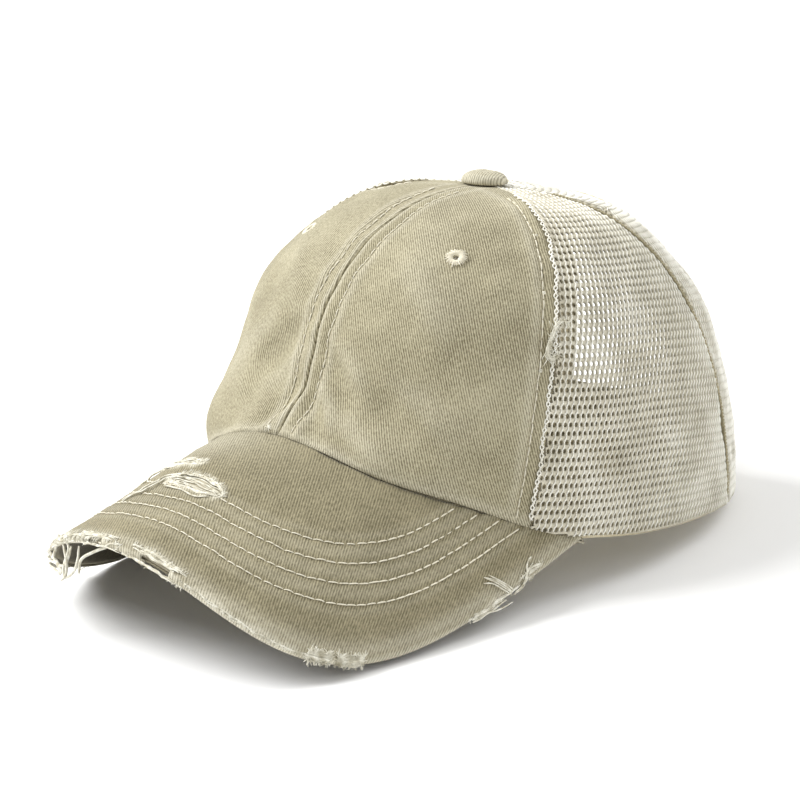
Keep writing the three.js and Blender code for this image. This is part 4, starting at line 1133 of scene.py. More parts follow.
# Underside: the same twill, its colours darkened as painted shade for the shadow under the peak, pulled
# smooth over the board's lower face
under_twill_painted_shade = washed_twill(
    "cotton_twill_underside_painted_shade", "#3b3626", "#655d45", "#b0a88d", PEAK_RIB_TURN, PEAK_RIB, 0.7
)
UNDER_COLUMNS, UNDER_ROWS = 150, 44
flat, y, across = peak_grid(UNDER_COLUMNS, UNDER_ROWS, inset=UNDER_INSET, crowd=1.2)
surface, normal = peak_surface(flat, y)
straight = sewn_up(normal, across)
inset = from_edge(flat, y)
sink = PEAK_WALL + PEAK_GAP + 0.05 - 0.22 * ripple(flat, y, 30, 61) * smooth(inset, 0, 6)
for row in QUILT_ROWS:
    sink = sink - 0.2 * bell(inset, row, 0.8)
edge_lift = 1.2 * (1 - np.sqrt(1 - np.clip(1 - (inset - UNDER_INSET) / 2.2, 0, 1) ** 2))
low = surface - straight * (sink + PEAK_WALL - edge_lift)[..., None]
high = surface - straight * (sink)[..., None]
worn = 0.6 * bell(inset, UNDER_INSET, 1.1)
places = np.stack([flat, y], -1)
add_piece(
    "peak_twill_under",
    np.stack([high, low]),
    sheet_faces(UNDER_COLUMNS, UNDER_ROWS),
    under_twill_painted_shade,
    flat=np.stack([places, places]),
    wear_and_painted_light=np.stack([worn, worn]),
    stands_for=["peak_underside"],
)


# Topstitching: cream spun-cotton thread in lockstitches about 3 mm long, each one pressed into
# the cloth at its ends and proud in the middle.
STITCH, STITCH_GAP, THREAD_RADIUS = 3.2, 0.22, 0.25
cotton_thread, tree, shader = new_material("spun_cotton_thread", 0.7, Sheen_Weight=0.1, Sheen_Roughness=0.4)
space = add_node(tree, "TexCoord", {})
ply = add_node(tree, "TexNoise", {"Vector": space.outputs["Object"], "Scale": 700.0, "Detail": 3.0})
spun = add_node(tree, "ValToRGB", {"Fac": ply.outputs["Fac"]})
spun.color_ramp.elements[0].color = linear("#d6cdb0")
spun.color_ramp.elements[1].color = linear("#f8f4e6")
tree.links.new(spun.outputs["Color"], shader.inputs["Base Color"])
twist = add_node(tree, "Bump", {"Height": ply.outputs["Fac"], "Strength": 0.5, "Distance": 0.0002})
tree.links.new(twist.outputs["Normal"], shader.inputs["Normal"])


# Shape of a stitch: shares of its length, with its rise over the cloth and its thickness there
STITCH_SHARES = np.array([0, 0.12, 0.35, 0.65, 0.88, 1.0])
STITCH_RISE = np.array([-0.2, 0.08, 0.25, 0.25, 0.08, -0.2])
STITCH_SWELL = np.array([0.55, 0.9, 1, 1, 0.9, 0.55])


def stitch_row(line, normal, stitch=STITCH, gap=STITCH_GAP, radius=THREAD_RADIUS, seed=1):
    """Stitches along a line that lies on the cloth, as paths, normals and radii of tubes."""
    run = length_along(line)
    count = int(run[-1] / (stitch + gap))
    draw = np.random.default_rng(seed)
    starts = (np.arange(count) + 0.5) * run[-1] / count - stitch / 2 + draw.normal(0, 0.12, count)
    places = starts[:, None] + STITCH_SHARES * stitch * (1 + draw.normal(0, 0.05, (count, 1)))
    path = np.stack([np.interp(places, run, line[:, k]) for k in range(3)], -1)
    up = unit(np.stack([np.interp(places, run, normal[:, k]) for k in range(3)], -1))
    aside = unit(np.cross(np.gradient(path, axis=1), up))
    rise = STITCH_RISE * radius / 0.3
    path = path + up * rise[:, None] + aside * (draw.normal(0, 0.07, (count, 1)) * np.ones(6))[..., None]
    return path, up, np.tile(radius * STITCH_SWELL, (count, 1))


def sew(name, rows, material=cotton_thread, wear_and_painted_light=0.0):
    """One piece of all the given groups of tubes."""
    points, faces, count = [], [], 0
    for row in rows:
        corners, quads = tubes(*row)
        points.append(corners)
        faces.append(quads + count)
        count += len(corners)
    points = np.concatenate(points)
    light = np.full(len(points), wear_and_painted_light)
    return add_piece(name, points, np.concatenate(faces), material, wear_and_painted_light=light)


# How far a quilting row turns round the peak, how proud its thread lies, and its fewest and all
# its points
ROW_REACH, ROW_LIFT, LEAST_ROW, ROW_POINTS = 1.9, 0.15, 12, 1100


def peak_row(row, seed):
    """One quilting row, from hem to hem round the peak."""
    turns = np.linspace(-ROW_REACH, ROW_REACH, ROW_POINTS)
    flat, y = peak_edge(turns, row)
    line = on_peak(flat, y, ROW_LIFT)
    # The row ends where the crown covers it
    spot = np.arctan2(line[:, 0], -line[:, 1])
    crown_line = wall(spot, hem_rise(spot), 0.0)
    clear = np.hypot(line[:, 0], line[:, 1]) > np.hypot(crown_line[:, 0], crown_line[:, 1]) + 0.2
    gone = torn(flat, y, from_edge(flat, y), edge_turn(flat, y))
    normal = peak_surface(flat, y)[1]
    pieces, start = [], None
    solid = clear & (gone < -0.6)
    for i in range(len(turns) + 1):
        inside = i < len(turns) and solid[i]
        if inside and start is None:
            start = i
        if not inside and start is not None:
            if i - start > LEAST_ROW:
                pieces.append(stitch_row(line[start:i], normal[start:i], seed=seed + i))
            start = None
    return pieces


sew("peak_topstitching", [piece for k, row in enumerate(QUILT_ROWS) for piece in peak_row(row, k * 1000)])


def on_crown(angle, rise):
    """Place on the front panels' worn cloth, and the crown's normal there."""
    raised, _ = twill_relief(angle, rise)
    return wall(angle, rise, -raised - ROW_LIFT), crown_normal(angle, rise)


rows = []
for side, sign in SIDES:
    rise = np.linspace(float(hem_rise(np.array(sign * 0.07))) + 0.012, 1.42, 400)
    angle = sign * SEAM_ROW / level_radius(0 * rise, rise)
    rows.append(stitch_row(*on_crown(angle, rise), seed=71 + sign))
    rise = np.linspace(float(hem_rise(np.array(sign * SIDE_SEAM[0]))) + 0.02, 1.4, 400)
    seam = sign * seam_angle(SIDE_SEAM, rise)
    angle = seam - sign * SIDE_ROW / level_radius(seam, rise)
    rows.append(stitch_row(*on_crown(angle, rise), seed=81 + sign))
sew("crown_topstitching", rows)


# Sewn eyelets: a small hole punched in each front panel and worked round with thread in close
# radial stitches over a padding ring, the outer ends uneven as a machine leaves them.
EYELET_HOLE, EYELET_PAD, EYELET_REACH, EYELET_HEIGHT = 1.05, 2.2, 3.45, 0.62
EYELET_STITCHES, EYELET_THREAD = 34, 0.26
PAD_WIDE, PAD_HIGH, PAD_STEPS, PAD_SIDES = 0.95, 0.42, 32, 8


def crown_frame(angle, rise, raised=0.0):
    """Origin, level axis, upward axis and normal of a place on the crown."""
    normal = crown_normal(angle, rise)
    level = unit(crown(angle + 0.01, rise) - crown(angle - 0.01, rise))
    return wall(angle, rise, -raised), level, np.cross(normal, level), normal


def eyelet(side, sign):
    """Radial stitches from the hole's rim over the padding ring to their uneven outer ends."""
    origin, level, up, normal = crown_frame(np.array(sign * EYELET_ANGLE), np.array(EYELET_RISE), 0.15)
    draw = np.random.default_rng(90 + sign)
    count = EYELET_STITCHES
    turns = (np.arange(count) + draw.normal(0, 0.18, count)) * 2 * math.pi / count
    reach = EYELET_REACH + draw.normal(0, 0.28, count) + 0.35 * (np.arange(count) % 2)
    shares = np.array([0, 0.12, 0.3, 0.5, 0.72, 0.9, 1.0])
    radius = EYELET_HOLE + (reach[:, None] - EYELET_HOLE) * shares
    height = np.array([-0.9, 0.2, 0.95, 1.0, 0.62, 0.3, -0.35]) * EYELET_HEIGHT
    out = level * np.cos(turns)[:, None] + up * np.sin(turns)[:, None]
    path = origin + out[:, None] * radius[..., None] + normal * height[None, :, None]
    ups = np.broadcast_to(normal, path.shape)
    thick = EYELET_THREAD * np.array([0.7, 0.95, 1, 1, 0.95, 0.8, 0.45]) * np.ones((count, 1))
    points, faces = tubes(path, ups, thick)
    # Padding ring under the stitches
    ring = np.linspace(0, 2 * math.pi, PAD_STEPS + 1)[:-1]
    section = np.arange(PAD_SIDES) * 2 * math.pi / PAD_SIDES
    far = EYELET_PAD + PAD_WIDE * np.cos(section)
    pad = origin + (level * np.cos(ring)[:, None] + up * np.sin(ring)[:, None])[:, None] * far[None, :, None]
    pad = pad + normal * (PAD_HIGH * np.sin(section) - 0.02)[None, :, None]
    at = np.arange(PAD_STEPS * PAD_SIDES).reshape(PAD_STEPS, PAD_SIDES) + len(points)
    after, beside = np.roll(at, -1, 0), np.roll(at, -1, 1)
    pad_faces = np.stack([at, after, np.roll(after, -1, 1), beside], -1).reshape(-1, 4)
    add_piece(
        f"eyelet_stitching_{side}",
        np.concatenate([points, pad.reshape(-1, 3)]),
        np.concatenate([faces, pad_faces[:, ::-1]]),
        cotton_thread,
        stands_for=[f"eyelet_{side}"],
    )


for side, sign in SIDES:
    eyelet(side, sign)

# Button: a domed metal blank covered with the crown's twill, drawn in under its rim, and riveted
# through the points of the gores with a washer inside.
BUTTON_RADIUS, BUTTON_HEIGHT, BUTTON_SEAT = 8.0, 4.6, 0.3
SHANK_RADIUS, WASHER_RADIUS, WASHER_WALL = 2.2, 5.6, 1.2
LINING_DEPTH, TAPE_WALL = 1.95, 1.0
BUTTON_SIDES = 72
# The dome's upright rim and the powers that round it off sideways and upwards
DOME_RIM, DOME_ROUND = 0.9, (0.72, 0.95)


def ring_faces(at):
    """Faces between neighbouring closed rings of points."""
    after = np.roll(at, -1, 1)
    return np.stack([at[:-1], after[:-1], after[1:], at[1:]], -1).reshape(-1, 4)


apex = crown(np.array(0.0), np.array(QUARTER))
turn = np.linspace(0, QUARTER, 15)
dome_radius = BUTTON_RADIUS * np.cos(turn) ** DOME_ROUND[0]
dome_height = BUTTON_SEAT + DOME_RIM + (BUTTON_HEIGHT - DOME_RIM) * np.sin(turn) ** DOME_ROUND[1]
under = -(LINING_DEPTH + TAPE_WALL + 0.3)
profile = np.array(
    [(0.03, under - WASHER_WALL), (WASHER_RADIUS - 0.4, under - WASHER_WALL), (WASHER_RADIUS, under - 0.7)]
    + [(WASHER_RADIUS - 0.3, under), (SHANK_RADIUS, under), (SHANK_RADIUS, BUTTON_SEAT)]
    + [(5.6, BUTTON_SEAT), (7.1, BUTTON_SEAT + 0.06), (7.75, BUTTON_SEAT + 0.35)]
    + list(zip(dome_radius[:-1], dome_height[:-1]))
    + [(0.03, dome_height[-1])]
)
around = np.arange(BUTTON_SIDES) * 2 * math.pi / BUTTON_SIDES
gather = 1 + 0.012 * np.sin(around * 11 + 1) + 0.008 * np.sin(around * 17)
pull = bell(profile[:, 1], BUTTON_SEAT + 0.6, 1.4)[:, None] * (profile[:, 0] > 6)[:, None]
spread = profile[:, 0, None] * (1 + (gather[None, :] - 1) * pull)
level = profile[:, 1, None] + 0.1 * np.sin(around * 3) * (profile[:, 1, None] > 3)
flat = np.stack([spread * np.cos(around), spread * np.sin(around)], -1)
button = apex + np.concatenate([flat, level[..., None]], -1)
at = np.arange(button.shape[0] * BUTTON_SIDES).reshape(-1, BUTTON_SIDES)
closing = [
    at[end][[0, k, k + 1, k + 2]][::way]
    for end, way in ((0, -1), (-1, 1))
    for k in range(1, BUTTON_SIDES - 2, 2)
]
faces = np.concatenate([ring_faces(at), np.array(closing)])
worn = (0.3 + 0.25 * bell(profile[:, 0], 7.4, 1.2)) * (profile[:, 1] > 0.5)
worn = np.broadcast_to(worn[:, None], spread.shape)
add_piece("button_cover", button, faces, crown_twill, flat=flat, wear_and_painted_light=worn, stands_for=["button"])

# Sweatband: a soft brushed-cotton strip folded under the hem and turned up inside it, sewn along
# its lower edge and overcast along its upper one.
BAND_HEIGHT, BAND_WALL, BAND_BELOW = 32.0, 1.1, 1.0
BINDING_WIDTH, BAND_END_GAP = 5.5, 1.7
# Mean radius of the band, and where its two rows of stitches run as shares of its height
BAND_RADIUS, BAND_ROWS = 92, (0.11, 0.955)
# Stitches of the inside: length, gap and radius
LINING_STITCH, TAPE_STITCH = (2.6, 0.6, 0.24), (2.6, 0.6, 0.22)


def rise_above(angle, height):
    """Rise at a height over the hem."""
    start = hem_rise(angle, 0.0, 0.0)
    target = crown(angle, start)[..., 2] + height
    low, high = start + 0.0, np.full(np.shape(start), QUARTER)
    for _ in range(HALVINGS):
        middle = (low + high) / 2
        over = crown(angle, middle)[..., 2] > target
        high, low = np.where(over, middle, high), np.where(over, low, middle)
    return high


# The same period of a wave texture, rounded, for the inside cottons
WEAVE_PERIOD = 0.314


def soft_cotton(name, light, shadow, weave):
    """Plain or herringbone cotton, whose threads lie some mm apart, brushed and matt."""
    made, tree, shader = new_material(name, 0.95, Sheen_Weight=0.2, Sheen_Roughness=0.5)
    place = add_node(tree, "UVMap", {}, uv_map="flat")
    space = add_node(tree, "TexCoord", {})
    waves = {"Vector": place.outputs["UV"], "Scale": WEAVE_PERIOD / weave, "Distortion": 0.5}
    weft = add_node(tree, "TexWave", waves, bands_direction="X")
    warp = add_node(tree, "TexWave", waves, bands_direction="Y")
    cross = add_node(tree, "Math", {0: weft.outputs["Fac"], 1: warp.outputs["Fac"]}, operation="MULTIPLY")
    stain = add_node(tree, "TexNoise", {"Vector": space.outputs["Object"], "Scale": 55.0, "Detail": 4.0})
    tone = add_node(tree, "Math", {0: cross.outputs["Value"], 1: stain.outputs["Fac"]}, operation="ADD")
    scaled = add_node(tree, "MapRange", {"Value": tone.outputs["Value"], "From Min": 0.3, "From Max": 1.5})
    ramp = add_node(tree, "ValToRGB", {"Fac": scaled.outputs[0]})
    ramp.color_ramp.elements[0].color = linear(shadow)
    ramp.color_ramp.elements[1].color = linear(light)
    tree.links.new(ramp.outputs["Color"], shader.inputs["Base Color"])
    bump = add_node(tree, "Bump", {"Height": cross.outputs["Value"], "Strength": 0.45, "Distance": 0.0002})
    tree.links.new(bump.outputs["Normal"], shader.inputs["Normal"])
    return made


brushed_cotton = soft_cotton("brushed_cotton_sweatband", "#e2d8bd", "#c4b99a", 0.9)
end = float(opening_angle(np.array(0.0), 1, BINDING_WIDTH + BAND_END_GAP))
around = np.linspace(-end, end, 240)
ups = np.array([0, 0.01, 0.03, 0.06, 0.09, 0.12, *np.linspace(0.16, 0.94, 20), 0.97, 0.985, 1.0])
angle, up = np.meshgrid(around, ups, indexing="ij")
low, high = hem_rise(angle, 0.0, 0.0), rise_above(angle, BAND_HEIGHT)
rise = low + (high - low) * up
run = angle * BAND_RADIUS
roll = 0.35 * bell(up, 0.05, 0.05) + 0.25 * bell(up, 0.99, 0.02) - 0.3 * bell(up, 0.11, 0.012)
loose = 0.3 * ripple(run, up * BAND_HEIGHT, 26, 101) * smooth(up, 0.1, 0.5)
layers = []
for depth in (LINING_DEPTH, LINING_DEPTH + BAND_WALL):
    sink = depth + (loose + roll * (depth > LINING_DEPTH)) * (depth > LINING_DEPTH)
    layer = wall(angle, rise, sink)
    layer[..., 2] -= BAND_BELOW * (1 - smooth(up, 0, 0.03))
    layers.append(layer)
flat = np.stack([run, up * BAND_HEIGHT], -1)
add_piece(
    "sweatband_cotton",
    np.stack(layers),
    sheet_faces(*angle.shape),
    brushed_cotton,
    flat=np.stack([flat, flat]),
    stands_for=["sweatband"],
)
around = np.linspace(-end + 0.02, end - 0.02, 1500)
rows = []
for share, seed in zip(BAND_ROWS, (111, 112)):
    low, high = hem_rise(around, 0.0, 0.0), rise_above(around, BAND_HEIGHT)
    line = wall(around, low + (high - low) * share, LINING_DEPTH + BAND_WALL + 0.05)
    rows.append(stitch_row(line, -crown_normal(around, low + (high - low) * share), *LINING_STITCH, seed))
sew("sweatband_stitching", rows)

# Seam tapes: herringbone cotton tape over every seam inside, sewn down along both edges with the
# rows that show outside, and narrowed to a point under the button.
TAPE_OUTSIDE, TAPE_ROW = 1.25, 1.2
TAPE_WIDTH, TAPE_MITRE, TAPE_TOP_RADIUS, TAPE_BAND_GAP, TAPE_BINDING_GAP = 15.0, 0.26, 8.5, 1.5, 0.6
seam_tape_cotton = soft_cotton("herringbone_cotton_tape", "#dfd6bd", "#b9ae90", 1.2)


def seam_tape(name, seam_at, start, outside=LINING_DEPTH):
    """A tape along a seam from a rise to its mitred top end, and its two rows of stitches."""
    top = float(rise_at_radius(np.array([seam_at(np.array(QUARTER))]), TAPE_TOP_RADIUS)[0])
    rises = np.linspace(start, top, 70)
    shares = np.linspace(-1, 1, 11)
    rise, share = np.meshgrid(rises, shares, indexing="ij")
    seam = seam_at(rise)
    radius = level_radius(seam, rise)
    half = np.minimum(TAPE_WIDTH / 2, radius * TAPE_MITRE)
    angle = seam + share * half / radius
    swell = 0.55 * bell(share * half, 0, 2.0) + 0.12 * ripple(rise * 100, share * half, 9, 121)
    swell = swell - 0.25 * bell(np.abs(share * half), half - TAPE_ROW, 0.7)
    outer = wall(angle, rise, outside)
    inner = wall(angle, rise, LINING_DEPTH + TAPE_WALL + swell)
    flat = np.stack([share * half, rise * 100], -1)
    add_piece(
        f"{name}_cotton",
        np.stack([outer, inner]),
        sheet_faces(*rise.shape),
        seam_tape_cotton,
        flat=np.stack([flat, flat]),
        stands_for=[name],
    )
    rows = []
    for way in (-1, 1):
        seam = seam_at(rises)
        radius = level_radius(seam, rises)
        half = np.minimum(TAPE_WIDTH / 2, radius * TAPE_MITRE)
        angle = seam + way * (half - TAPE_ROW) / radius
        line = wall(angle, rises, LINING_DEPTH + TAPE_WALL - 0.1)
        rows.append(stitch_row(line, -crown_normal(angle, rises), *TAPE_STITCH, 131 + way))
    return rows


def above_band(angle):
    """Rise at which a tape comes out over the sweatband."""
    return float(rise_above(np.array([angle]), BAND_HEIGHT + TAPE_BAND_GAP)[0])


rows = seam_tape("front_seam_tape", lambda rise: 0 * rise, above_band(0.0))
opening_clear = OPENING_TOP + (BINDING_WIDTH + TAPE_BINDING_GAP) / CROWN_REAR
rows += seam_tape("back_seam_tape", lambda rise: math.pi + 0 * rise, opening_clear)
for side, sign in SIDES:
    for place, seam in (("side", SIDE_SEAM), ("rear", REAR_SEAM)):
        follows = lambda rise: sign * seam_angle(seam, rise)
        rows += seam_tape(f"{place}_seam_tape_{side}", follows, above_band(sign * seam[0]), TAPE_OUTSIDE)
sew("seam_tape_stitching", rows)

# Binding of the ponytail opening: cotton tape folded over the net's cut edge and sewn through
# near its open side.
BINDING_LIP, BINDING_SLACK, BINDING_ROW, NET_WALL = 0.8, 0.45, 3.7, 1.2
binding_cotton = soft_cotton("folded_cotton_binding", "#e6dec8", "#c3b99e", 1.0)
shares = np.linspace(-1, 1, 241)
arch_rise = OPENING_TOP * np.sin((1 - np.abs(shares)) * QUARTER)
arch_angle = opening_angle(arch_rise, 1, 0.0) * np.where(shares < 0, 1, -1)
arch_angle = np.where(shares == 0, math.pi, arch_angle)
centre, normal = crown(arch_angle, arch_rise), crown_normal(arch_angle, arch_rise)
along = unit(np.gradient(centre, axis=0))
away = unit(np.cross(normal, along))
lift = unit(np.cross(along, away))
over, under = -BINDING_SLACK, NET_WALL + BINDING_SLACK
turns = np.linspace(QUARTER, 3 * QUARTER, 9)[1:-1]
middle, half = (over + under) / 2, (under - over) / 2 + BINDING_LIP
nose = [(0.9 + 0.95 * math.cos(turn), middle - half * math.sin(turn)) for turn in turns]
section = np.array(
    [(BINDING_WIDTH - 0.2, over), (BINDING_WIDTH, over - 0.35), (BINDING_WIDTH - 0.3, over - BINDING_LIP)]
    + [(4.2, over - BINDING_LIP - 0.05), (3.3, over - BINDING_LIP + 0.15), (2.2, over - BINDING_LIP - 0.1)]
    + [(1.0, over - BINDING_LIP)]
    + nose
    + [(1.0, under + BINDING_LIP), (2.2, under + BINDING_LIP + 0.1), (3.3, under + BINDING_LIP - 0.15)]
    + [(4.2, under + BINDING_LIP + 0.05), (BINDING_WIDTH - 0.3, under + BINDING_LIP)]
    + [(BINDING_WIDTH, under + 0.35), (BINDING_WIDTH - 0.2, under), (1.3, under - 0.1), (1.3, over + 0.1)]
)
rings = centre[:, None] + away[:, None] * section[:, 0, None] - lift[:, None] * section[:, 1, None]
rings = rings + lift[:, None] * (0.1 * ripple(shares * 150, 0 * shares, 8, 141))[:, None, None]
count = len(section)
at = np.arange(len(shares) * count).reshape(-1, count)
faces = ring_faces(at)
# Each end is closed across the fold, lip by lip
ends = []
for ring, way in ((at[0], -1), (at[-1], 1)):
    for k in range(count // 2):
        ends.append(ring[[k, k + 1, count - 2 - k, (count - 1 - k) % count]][::way])
widths = np.cumsum(np.linalg.norm(np.diff(section, axis=0, prepend=section[:1]), axis=1))
widths = np.broadcast_to(widths, at.shape)
flat = np.stack([np.broadcast_to(shares[:, None] * 130, at.shape), widths], -1)
add_piece(
    "opening_binding_cotton", rings, faces, binding_cotton, flat=flat, stands_for=["opening_binding"]
)
line = centre + away * BINDING_ROW + lift * (BINDING_SLACK + BINDING_LIP)
sew("opening_binding_stitching", [stitch_row(line[2:-2], lift[2:-2], *LINING_STITCH, 151)])

# Closing straps: two straps of the crown's twill, sewn inside the corners of the opening. The
# upper one carries the hooks and crosses over the looped one.
STRAP_HEIGHT, STRAP_WALL, STRAP_ANCHOR, STRAP_FREE_END = 22.0, 1.4, 13.0, 15.0
# Where the upper strap eases out over the lower one, past the corner of the opening
STRAP_SHIFT = (2.5, 12.5)
# Length and power of the rounded free end, and where the rows of stitches run up the strap
STRAP_TIP, STRAP_ROUND, STRAP_ROWS = 9, 2.6, (0.11, 0.89)
ANCHOR_DEPTH = LINING_DEPTH + BAND_WALL + 0.3
OVER_DEPTH = ANCHOR_DEPTH - STRAP_WALL - 0.3
strap_high = float(rise_above(np.array([math.pi]), STRAP_HEIGHT)[0])
rear_radius = float(level_radius(np.array(math.pi), np.array(0.0)))


def strap_place(sign, along, up, over, deeper=0.0):
    """Place on a strap: along from its sewn end, up from the hem."""
    inside = smooth(along + OPENING_HALF_WIDTH, *STRAP_SHIFT)
    depth = ANCHOR_DEPTH + (OVER_DEPTH - ANCHOR_DEPTH) * inside * over + deeper
    angle = math.pi + sign * along / rear_radius
    point = wall(angle, strap_high * up, depth)
    point[..., 2] -= BAND_BELOW * (1 - smooth(up, 0, 0.12))
    return point, crown_normal(angle, strap_high * up)


def strap(name, node, sign, over):
    """One strap, from its end sewn to the net and binding to its rounded free end."""
    free = OPENING_HALF_WIDTH - STRAP_FREE_END
    length = free + OPENING_HALF_WIDTH + STRAP_ANCHOR
    along, up = np.meshgrid(np.linspace(0, 1, 80), np.linspace(0, 1, 16), indexing="ij")
    # The free end is cut round
    tip = np.clip((along * length - (length - STRAP_TIP)) / STRAP_TIP, 0, 1)
    round_off = 0.5 * (1 - np.sqrt(1 - tip**STRAP_ROUND))
    up = 0.5 + (up - 0.5) * (1 - round_off)
    x = -OPENING_HALF_WIDTH - STRAP_ANCHOR + along * length
    rim = np.minimum(np.minimum(up, 1 - up) * STRAP_HEIGHT, (1 - along) * length)
    swell = 0.14 * ripple(x, up * STRAP_HEIGHT, 9, 161 + over)
    swell = swell - 0.25 * bell(rim, 2.4, 0.6) + 0.1 * bell(rim, 0.8, 0.8)
    edge = 0.35 * bell(rim, 0, 0.5)
    outer = strap_place(sign, x, up, over, edge - swell)[0]
    inner = strap_place(sign, x, up, over, STRAP_WALL - edge)[0]
    flat = np.stack([x, up * STRAP_HEIGHT], -1)
    worn = 0.5 * bell(rim, 0.3, 0.7)
    add_piece(
        name, np.stack([outer, inner]), sheet_faces(*x.shape), crown_twill,
        flat=np.stack([flat, flat]), wear_and_painted_light=np.stack([worn, worn * 0.5]), stands_for=[node],
    )
    rows = []
    x = np.linspace(-OPENING_HALF_WIDTH + 2, free - 7, 300)
    for up in STRAP_ROWS:
        line, normal = strap_place(sign, x, np.full(300, up), over, 0.1)
        rows.append(stitch_row(line, normal, *LINING_STITCH, 171))
    return rows


rows = strap("strap_over_twill", "strap_hook", 1, 1) + strap("strap_under_twill", "strap_loop", -1, 0)
sew("strap_stitching", rows)


# Frays: where the peak's edge, the two rips and one side seam are worn through, bare cream threads
# show. Cords follow the torn rims with a fringe of short fibres, a few threads still bridge the
# rips, and some strands and loops hang loose.
frayed_cotton, tree, shader = new_material("frayed_bare_cotton", 0.9, Sheen_Weight=0.3, Sheen_Roughness=0.5)
space = add_node(tree, "TexCoord", {})
fluff = add_node(tree, "TexNoise", {"Vector": space.outputs["Object"], "Scale": 420.0, "Detail": 4.0})
bare = add_node(tree, "ValToRGB", {"Fac": fluff.outputs["Fac"]})
bare.color_ramp.elements[0].position = 0.3
bare.color_ramp.elements[1].position = 0.62
bare.color_ramp.elements[0].color = linear("#b0a98f")
bare.color_ramp.elements[1].color = linear("#ebe8d9")
tree.links.new(bare.outputs["Color"], shader.inputs["Base Color"])
fuzz = add_node(tree, "Bump", {"Height": fluff.outputs["Fac"], "Strength": 0.6, "Distance": 0.0003})
tree.links.new(fuzz.outputs["Normal"], shader.inputs["Normal"])
# How much thinner a thread is at its ends than in its middle
TAPER = 0.45


def smooth_run(corners, count):
    """A curve through the given corners, with a number of evenly shared places."""
    corners = np.asarray(corners, float)
    ends = np.concatenate([2 * corners[:1] - corners[1:2], corners, 2 * corners[-1:] - corners[-2:-1]])
    share = np.linspace(0, len(corners) - 1, count)
    at = np.minimum(share.astype(int), len(corners) - 2)
    f = (share - at)[:, None]
    a, b, c, d = (ends[at + k] for k in range(4))
    return 0.5 * (2 * b + (c - a) * f + (2 * a - 5 * b + 4 * c - d) * f**2 + (3 * b - a - 3 * c + d) * f**3)


def tapered(count, radii, rings):
    """Radii of threads that thin out towards both ends."""
    share = np.linspace(-1, 1, rings)
    return np.broadcast_to(np.reshape(radii, (-1, 1)) * (1 - TAPER * share**6), (count, rings))


def over_peak(places, radii):
    """Threads through flat places and heights over the peak, as paths, normals and radii."""
    flat, y, height = np.moveaxis(np.asarray(places, float), -1, 0)
    return on_peak(flat, y, height), peak_surface(flat, y)[1], tapered(len(flat), radii, flat.shape[1])


def rip_rim(rip, way, out=0.2):
    """One long side of a rip on the flat pattern, from tip to tip."""
    x0, y0, length, width, slant = RIPS[rip]
    c, s = math.cos(math.radians(slant)), math.sin(math.radians(slant))
    turns = np.linspace(-QUARTER, QUARTER, 60)
    along, aside = (length + out) * np.sin(turns), way * (width + out) * np.cos(turns)
    return np.stack([x0 + along * c - aside * s, y0 + along * s + aside * c], -1)


def edge_rim(start, end, inset):
    """A stretch of the peak's edge on the flat pattern, some way in from it."""
    return np.stack(peak_edge(np.linspace(start, end, 60), inset), -1)


def rim_away(rim, way):
    """Flat direction that points away from the hole beside a rim."""
    along = unit(np.gradient(rim, axis=0))
    return np.stack([-along[:, 1], along[:, 0]], -1) * way


def rim_cords(rim, way, count, spread, radius, seed, rings=44):
    """Cords that follow a rim, each wandering a little to its sides and up and down."""
    draw = np.random.default_rng(seed)
    away = rim_away(rim, way)
    share = np.linspace(0, len(rim) - 1, rings)
    at = np.arange(len(rim))
    length = np.linalg.norm(np.diff(rim, axis=0), axis=1).sum()
    places = []
    for k in range(count):
        low, high = draw.uniform(0, 0.25), draw.uniform(0.75, 1)
        part = share * (high - low) + low * (len(rim) - 1)
        run = np.linspace(low, high, rings) * length
        side = draw.normal(0, spread) + 0.3 * ripple(run, run * 0, 7, seed * 50 + k)
        height = draw.uniform(0.0, 0.45) + 0.2 * ripple(run, run * 0, 5, seed * 50 + k + 25)
        flat, y = (np.interp(part, at, rim[:, n]) + side * np.interp(part, at, away[:, n]) for n in range(2))
        places.append(np.stack([flat, y, height], -1))
    return over_peak(places, radius * draw.uniform(0.7, 1.25, count))


def fringe(rim, way, count, reach, radius, seed, rings=5):
    """Short fibres standing out from a rim, each bent its own way."""
    draw = np.random.default_rng(seed)
    away = rim_away(rim, way)
    at, part = np.arange(len(rim)), draw.uniform(0, len(rim) - 1, count)
    start, out = (np.stack([np.interp(part, at, line[:, n]) for n in range(2)], -1) for line in (rim, away))
    turn = draw.normal(0, 0.7, count)
    c, s = np.cos(turn)[:, None], np.sin(turn)[:, None]
    out = out * c + out[:, ::-1] * np.array([-1, 1]) * s
    length = reach * draw.uniform(0.3, 1.25, (count, 1))
    bend = draw.normal(0, 0.45, (count, 1)) * length
    share = np.linspace(0, 1, rings)[None, :]
    run, side = length * share - 0.35, bend * share**2
    flat = start[:, :1] + out[:, :1] * run - out[:, 1:] * side
    y = start[:, 1:] + out[:, 1:] * run + out[:, :1] * side
    height = 0.15 + draw.uniform(-0.2, 0.5, (count, 1)) * length * share
    places = np.stack([flat, y, np.maximum(height, 0.05)], -1)
    return over_peak(places, radius * draw.uniform(0.7, 1.2, count))


